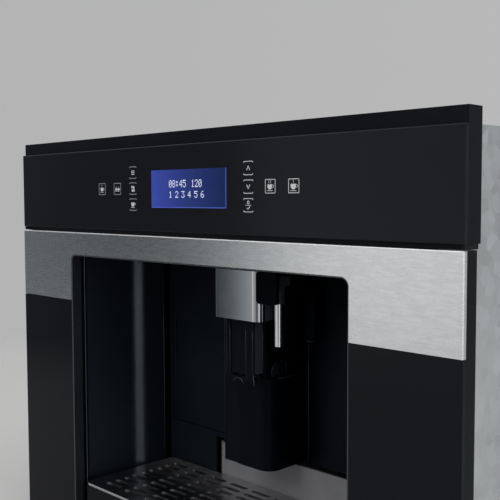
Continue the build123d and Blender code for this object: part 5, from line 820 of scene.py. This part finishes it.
# ------------------------------------------------------------------ hot water nozzle
NOZZLE_X, TUBE_DEPTH, SLEEVE_DEPTH = 51.0, 76.0, 84.3
PLATE = (32.8, 60.0, 288.0, 320.0)      # left, right, low and high of the front plate
PLATE_CORNER, PLATE_NEAR, PLATE_FAR = 4.5, 62.0, 67.0
SLEEVE_LEVELS, SLEEVE_RADII = (245.0, 246.0, 291.0), (2.6, 3.2, 3.2)
PLUG_X, PLUG_Z = 48.5, 304.0
PLUG_DEPTHS, PLUG_RADII = (80.0, 104.0, 105.0), (8.0, 8.0, 7.2)
TIP_LEVELS, TIP_RADII = (242.4, 242.8, 246.6), (4.2, 4.95, 4.95)
COLLAR_LEVELS, COLLAR_RADII = (288.0, 289.0, 306.0, 307.5), (5.3, 5.9, 5.9, 5.2)
ELBOW_BLOCK = (44.5, 57.3, 66.5, 86.0, 305.5, 315.0)

# front plate, dark sleeve, plug and the tube's tip
bm = bmesh.new()
slab(bm, rounded(*PLATE, PLATE_CORNER, 5), PLATE_NEAR, PLATE_FAR)
upright(bm, NOZZLE_X, SLEEVE_DEPTH, SLEEVE_LEVELS, SLEEVE_RADII, 20)
tube(bm, [(PLUG_X, depth, PLUG_Z) for depth in PLUG_DEPTHS], PLUG_RADII, 28)
upright(bm, NOZZLE_X, TUBE_DEPTH, TIP_LEVELS, TIP_RADII, 24)
nozzle_piece = piece("nozzle_plate", bm, "hot_water_nozzle", nozzle_plastic,
                     bevel=0.4)
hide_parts("nozzle_connector")

# the elbow behind the plate: a collar round the tube and the block over it
bm = bmesh.new()
upright(bm, NOZZLE_X, TUBE_DEPTH, COLLAR_LEVELS, COLLAR_RADII, 28)
box(bm, *ELBOW_BLOCK)
piece("nozzle_elbow", bm, "hot_water_nozzle", collar_plastic, bevel=0.8)


# ------------------------------------------------------------------ camera
CAMERA_PLACE = (0.59588, -0.71141, 0.39076)
CAMERA_YAW = 45.166
CAMERA_PITCH = 3.600
CAMERA_ROLL = -0.184
SENSOR_WIDTH = 36.0
FOCAL_PIXELS, PICTURE_PIXELS = 823.9, 500

camera_data = bpy.data.cameras.new("camera")
camera_data.sensor_width = SENSOR_WIDTH
camera_data.sensor_fit = "HORIZONTAL"
camera_data.lens = FOCAL_PIXELS * SENSOR_WIDTH / PICTURE_PIXELS
camera_data.clip_start = 0.01
camera = bpy.data.objects.new("camera", camera_data)
bpy.context.scene.collection.objects.link(camera)
turn = (Matrix.Rotation(math.radians(CAMERA_YAW), 4, "Z")
        @ Matrix.Rotation(math.radians(90 - CAMERA_PITCH), 4, "X")
        @ Matrix.Rotation(math.radians(CAMERA_ROLL), 4, "Z"))
camera.matrix_world = Matrix.Translation(CAMERA_PLACE) @ turn
bpy.context.scene.camera = camera


# ------------------------------------------------------------------ light
def lamp(name, place, aim, width, height, power):
    data = bpy.data.lights.new(name, "AREA")
    data.shape = "RECTANGLE"
    data.size = width
    data.size_y = height
    data.energy = power
    obj = bpy.data.objects.new(name, data)
    bpy.context.scene.collection.objects.link(obj)
    obj.location = place
    obj.rotation_euler = (Vector(aim) - Vector(place)).to_track_quat("-Z", "Y").to_euler()


lamp("key_light", (-0.2, -2.3, 1.7), (0.05, -0.1, 0.25), 1.5, 1.2, 14)
lamp("side_light", (1.9, -0.5, 0.9), (0.0, 0.0, 0.25), 1.0, 1.4, 10)
lamp("top_light", (0.3, 0.2, 2.2), (0, 0, 0.2), 1.8, 1.8, 10)
lamp("rear_light", (-0.9, 2.2, 1.5), (0, 0.2, 0.2), 1.6, 1.2, 10)

# A studio whose walls differ by direction, as (angle, brightness).  Angles run from the front
# (0) over the left (90) and the back (180) to the right (270).  Front, left and back are mid
# grey and the right is pale.  At the front left stands a bright panel with a dark screen
# behind it, and between the right and the front another dark screen.
WALLS = ((0, 0.48), (22, 0.55), (32, 1.0), (41, 1.0), (43.5, 0.84), (45.3, 0.45), (46.4, 0.18),
         (47.6, 0.06), (54, 0.04), (60, 0.16), (75, 0.34), (90, 0.42), (135, 0.47), (180, 0.50),
         (225, 0.55), (270, 0.90), (312, 1.0), (318, 0.25), (345, 0.15), (352, 0.45), (360, 0.48))
COOL_WALLS = (40, 80)                   # between these angles the dark walls are bluish
CEILING = 1.0
WALL_TOP, CEILING_EDGE = 0.42, 0.75     # heights of the direction where wall fades to ceiling


def wall_colour(angle, level):
    cool = 1 - level if COOL_WALLS[0] < angle < COOL_WALLS[1] else 0
    return (level * (1 - 0.13 * cool), level, level * (1.01 + 0.08 * cool), 1)


world = bpy.data.worlds.new("studio")
bpy.context.scene.world = world
world.use_nodes = True
sky = world.node_tree
sky.nodes.clear()
sky_out = sky.nodes.new("ShaderNodeOutputWorld")
sky_back = sky.nodes.new("ShaderNodeBackground")
sky_way = sky.nodes.new("ShaderNodeTexCoord")
sky_split = sky.nodes.new("ShaderNodeSeparateXYZ")
sky.links.new(sky_way.outputs["Generated"], sky_split.inputs[0])
sky_angle = sky.nodes.new("ShaderNodeMath")
sky_angle.operation = "ARCTAN2"
sky.links.new(sky_split.outputs["X"], sky_angle.inputs[0])
sky.links.new(sky_split.outputs["Y"], sky_angle.inputs[1])
sky_turn = sky.nodes.new("ShaderNodeMapRange")
sky_turn.inputs["From Min"].default_value = -math.pi
sky_turn.inputs["From Max"].default_value = math.pi
sky.links.new(sky_angle.outputs[0], sky_turn.inputs["Value"])
sky_walls = sky.nodes.new("ShaderNodeValToRGB")
stops = sky_walls.color_ramp.elements
stops[0].color = (WALLS[0][1],) * 3 + (1,)
stops[1].color = (WALLS[-1][1],) * 3 + (1,)
for angle, level in WALLS[1:-1]:
    stops.new(angle / 360).color = wall_colour(angle, level)
sky.links.new(sky_turn.outputs[0], sky_walls.inputs[0])
sky_rise = sky.nodes.new("ShaderNodeMapRange")
sky_rise.interpolation_type = "SMOOTHSTEP"
sky_rise.inputs["From Min"].default_value = WALL_TOP
sky_rise.inputs["From Max"].default_value = CEILING_EDGE
sky.links.new(sky_split.outputs["Z"], sky_rise.inputs["Value"])
sky_mix = sky.nodes.new("ShaderNodeMix")
sky_mix.data_type = "RGBA"
sky_mix.inputs["B"].default_value = (CEILING, CEILING, CEILING, 1)
sky.links.new(sky_rise.outputs[0], sky_mix.inputs["Factor"])
sky.links.new(sky_walls.outputs[0], sky_mix.inputs["A"])
sky.links.new(sky_mix.outputs["Result"], sky_back.inputs["Color"])
sky.links.new(sky_back.outputs[0], sky_out.inputs[0])


# ------------------------------------------------------------------ floor
FLOOR_RADIUS = 1.7
FLOOR_FADE = 1.1                        # from here on the floor fades out towards its rim
FLOOR_LEVEL = -0.0005
FLOOR_SIDES = 64

floor_finish = Finish("floor", (0.46, 0.46, 0.455), specular=0.2).set(Roughness=0.75)
floor_finish.tone(floor_finish.noise(2.0, 3.0), (0.44, 0.44, 0.435))
reach = floor_finish.node("ShaderNodeVectorMath", operation="LENGTH")
floor_finish.link(floor_finish.place.outputs["Object"], reach.inputs[0])
clear_rim = floor_finish.node("ShaderNodeBsdfTransparent")
fade = floor_finish.node("ShaderNodeMixShader")
share = floor_finish.remap(reach.outputs["Value"], 0.0, 1.0, FLOOR_FADE, FLOOR_RADIUS)
floor_finish.link(share, fade.inputs[0])
floor_finish.link(floor_finish.bsdf.outputs[0], fade.inputs[1])
floor_finish.link(clear_rim.outputs[0], fade.inputs[2])
floor_finish.link(fade.outputs[0], floor_finish.out.inputs[0])
bm = bmesh.new()
bm.faces.new([bm.verts.new((FLOOR_RADIUS * math.cos(a), FLOOR_RADIUS * math.sin(a), FLOOR_LEVEL))
              for a in turns(FLOOR_SIDES)])
floor_mesh = bpy.data.meshes.new("floor")
bm.to_mesh(floor_mesh)
bm.free()
floor_mesh.materials.append(floor_finish.mat)
floor = bpy.data.objects.new("floor", floor_mesh)
bpy.context.scene.collection.objects.link(floor)

bpy.context.scene.view_settings.view_transform = "Standard"
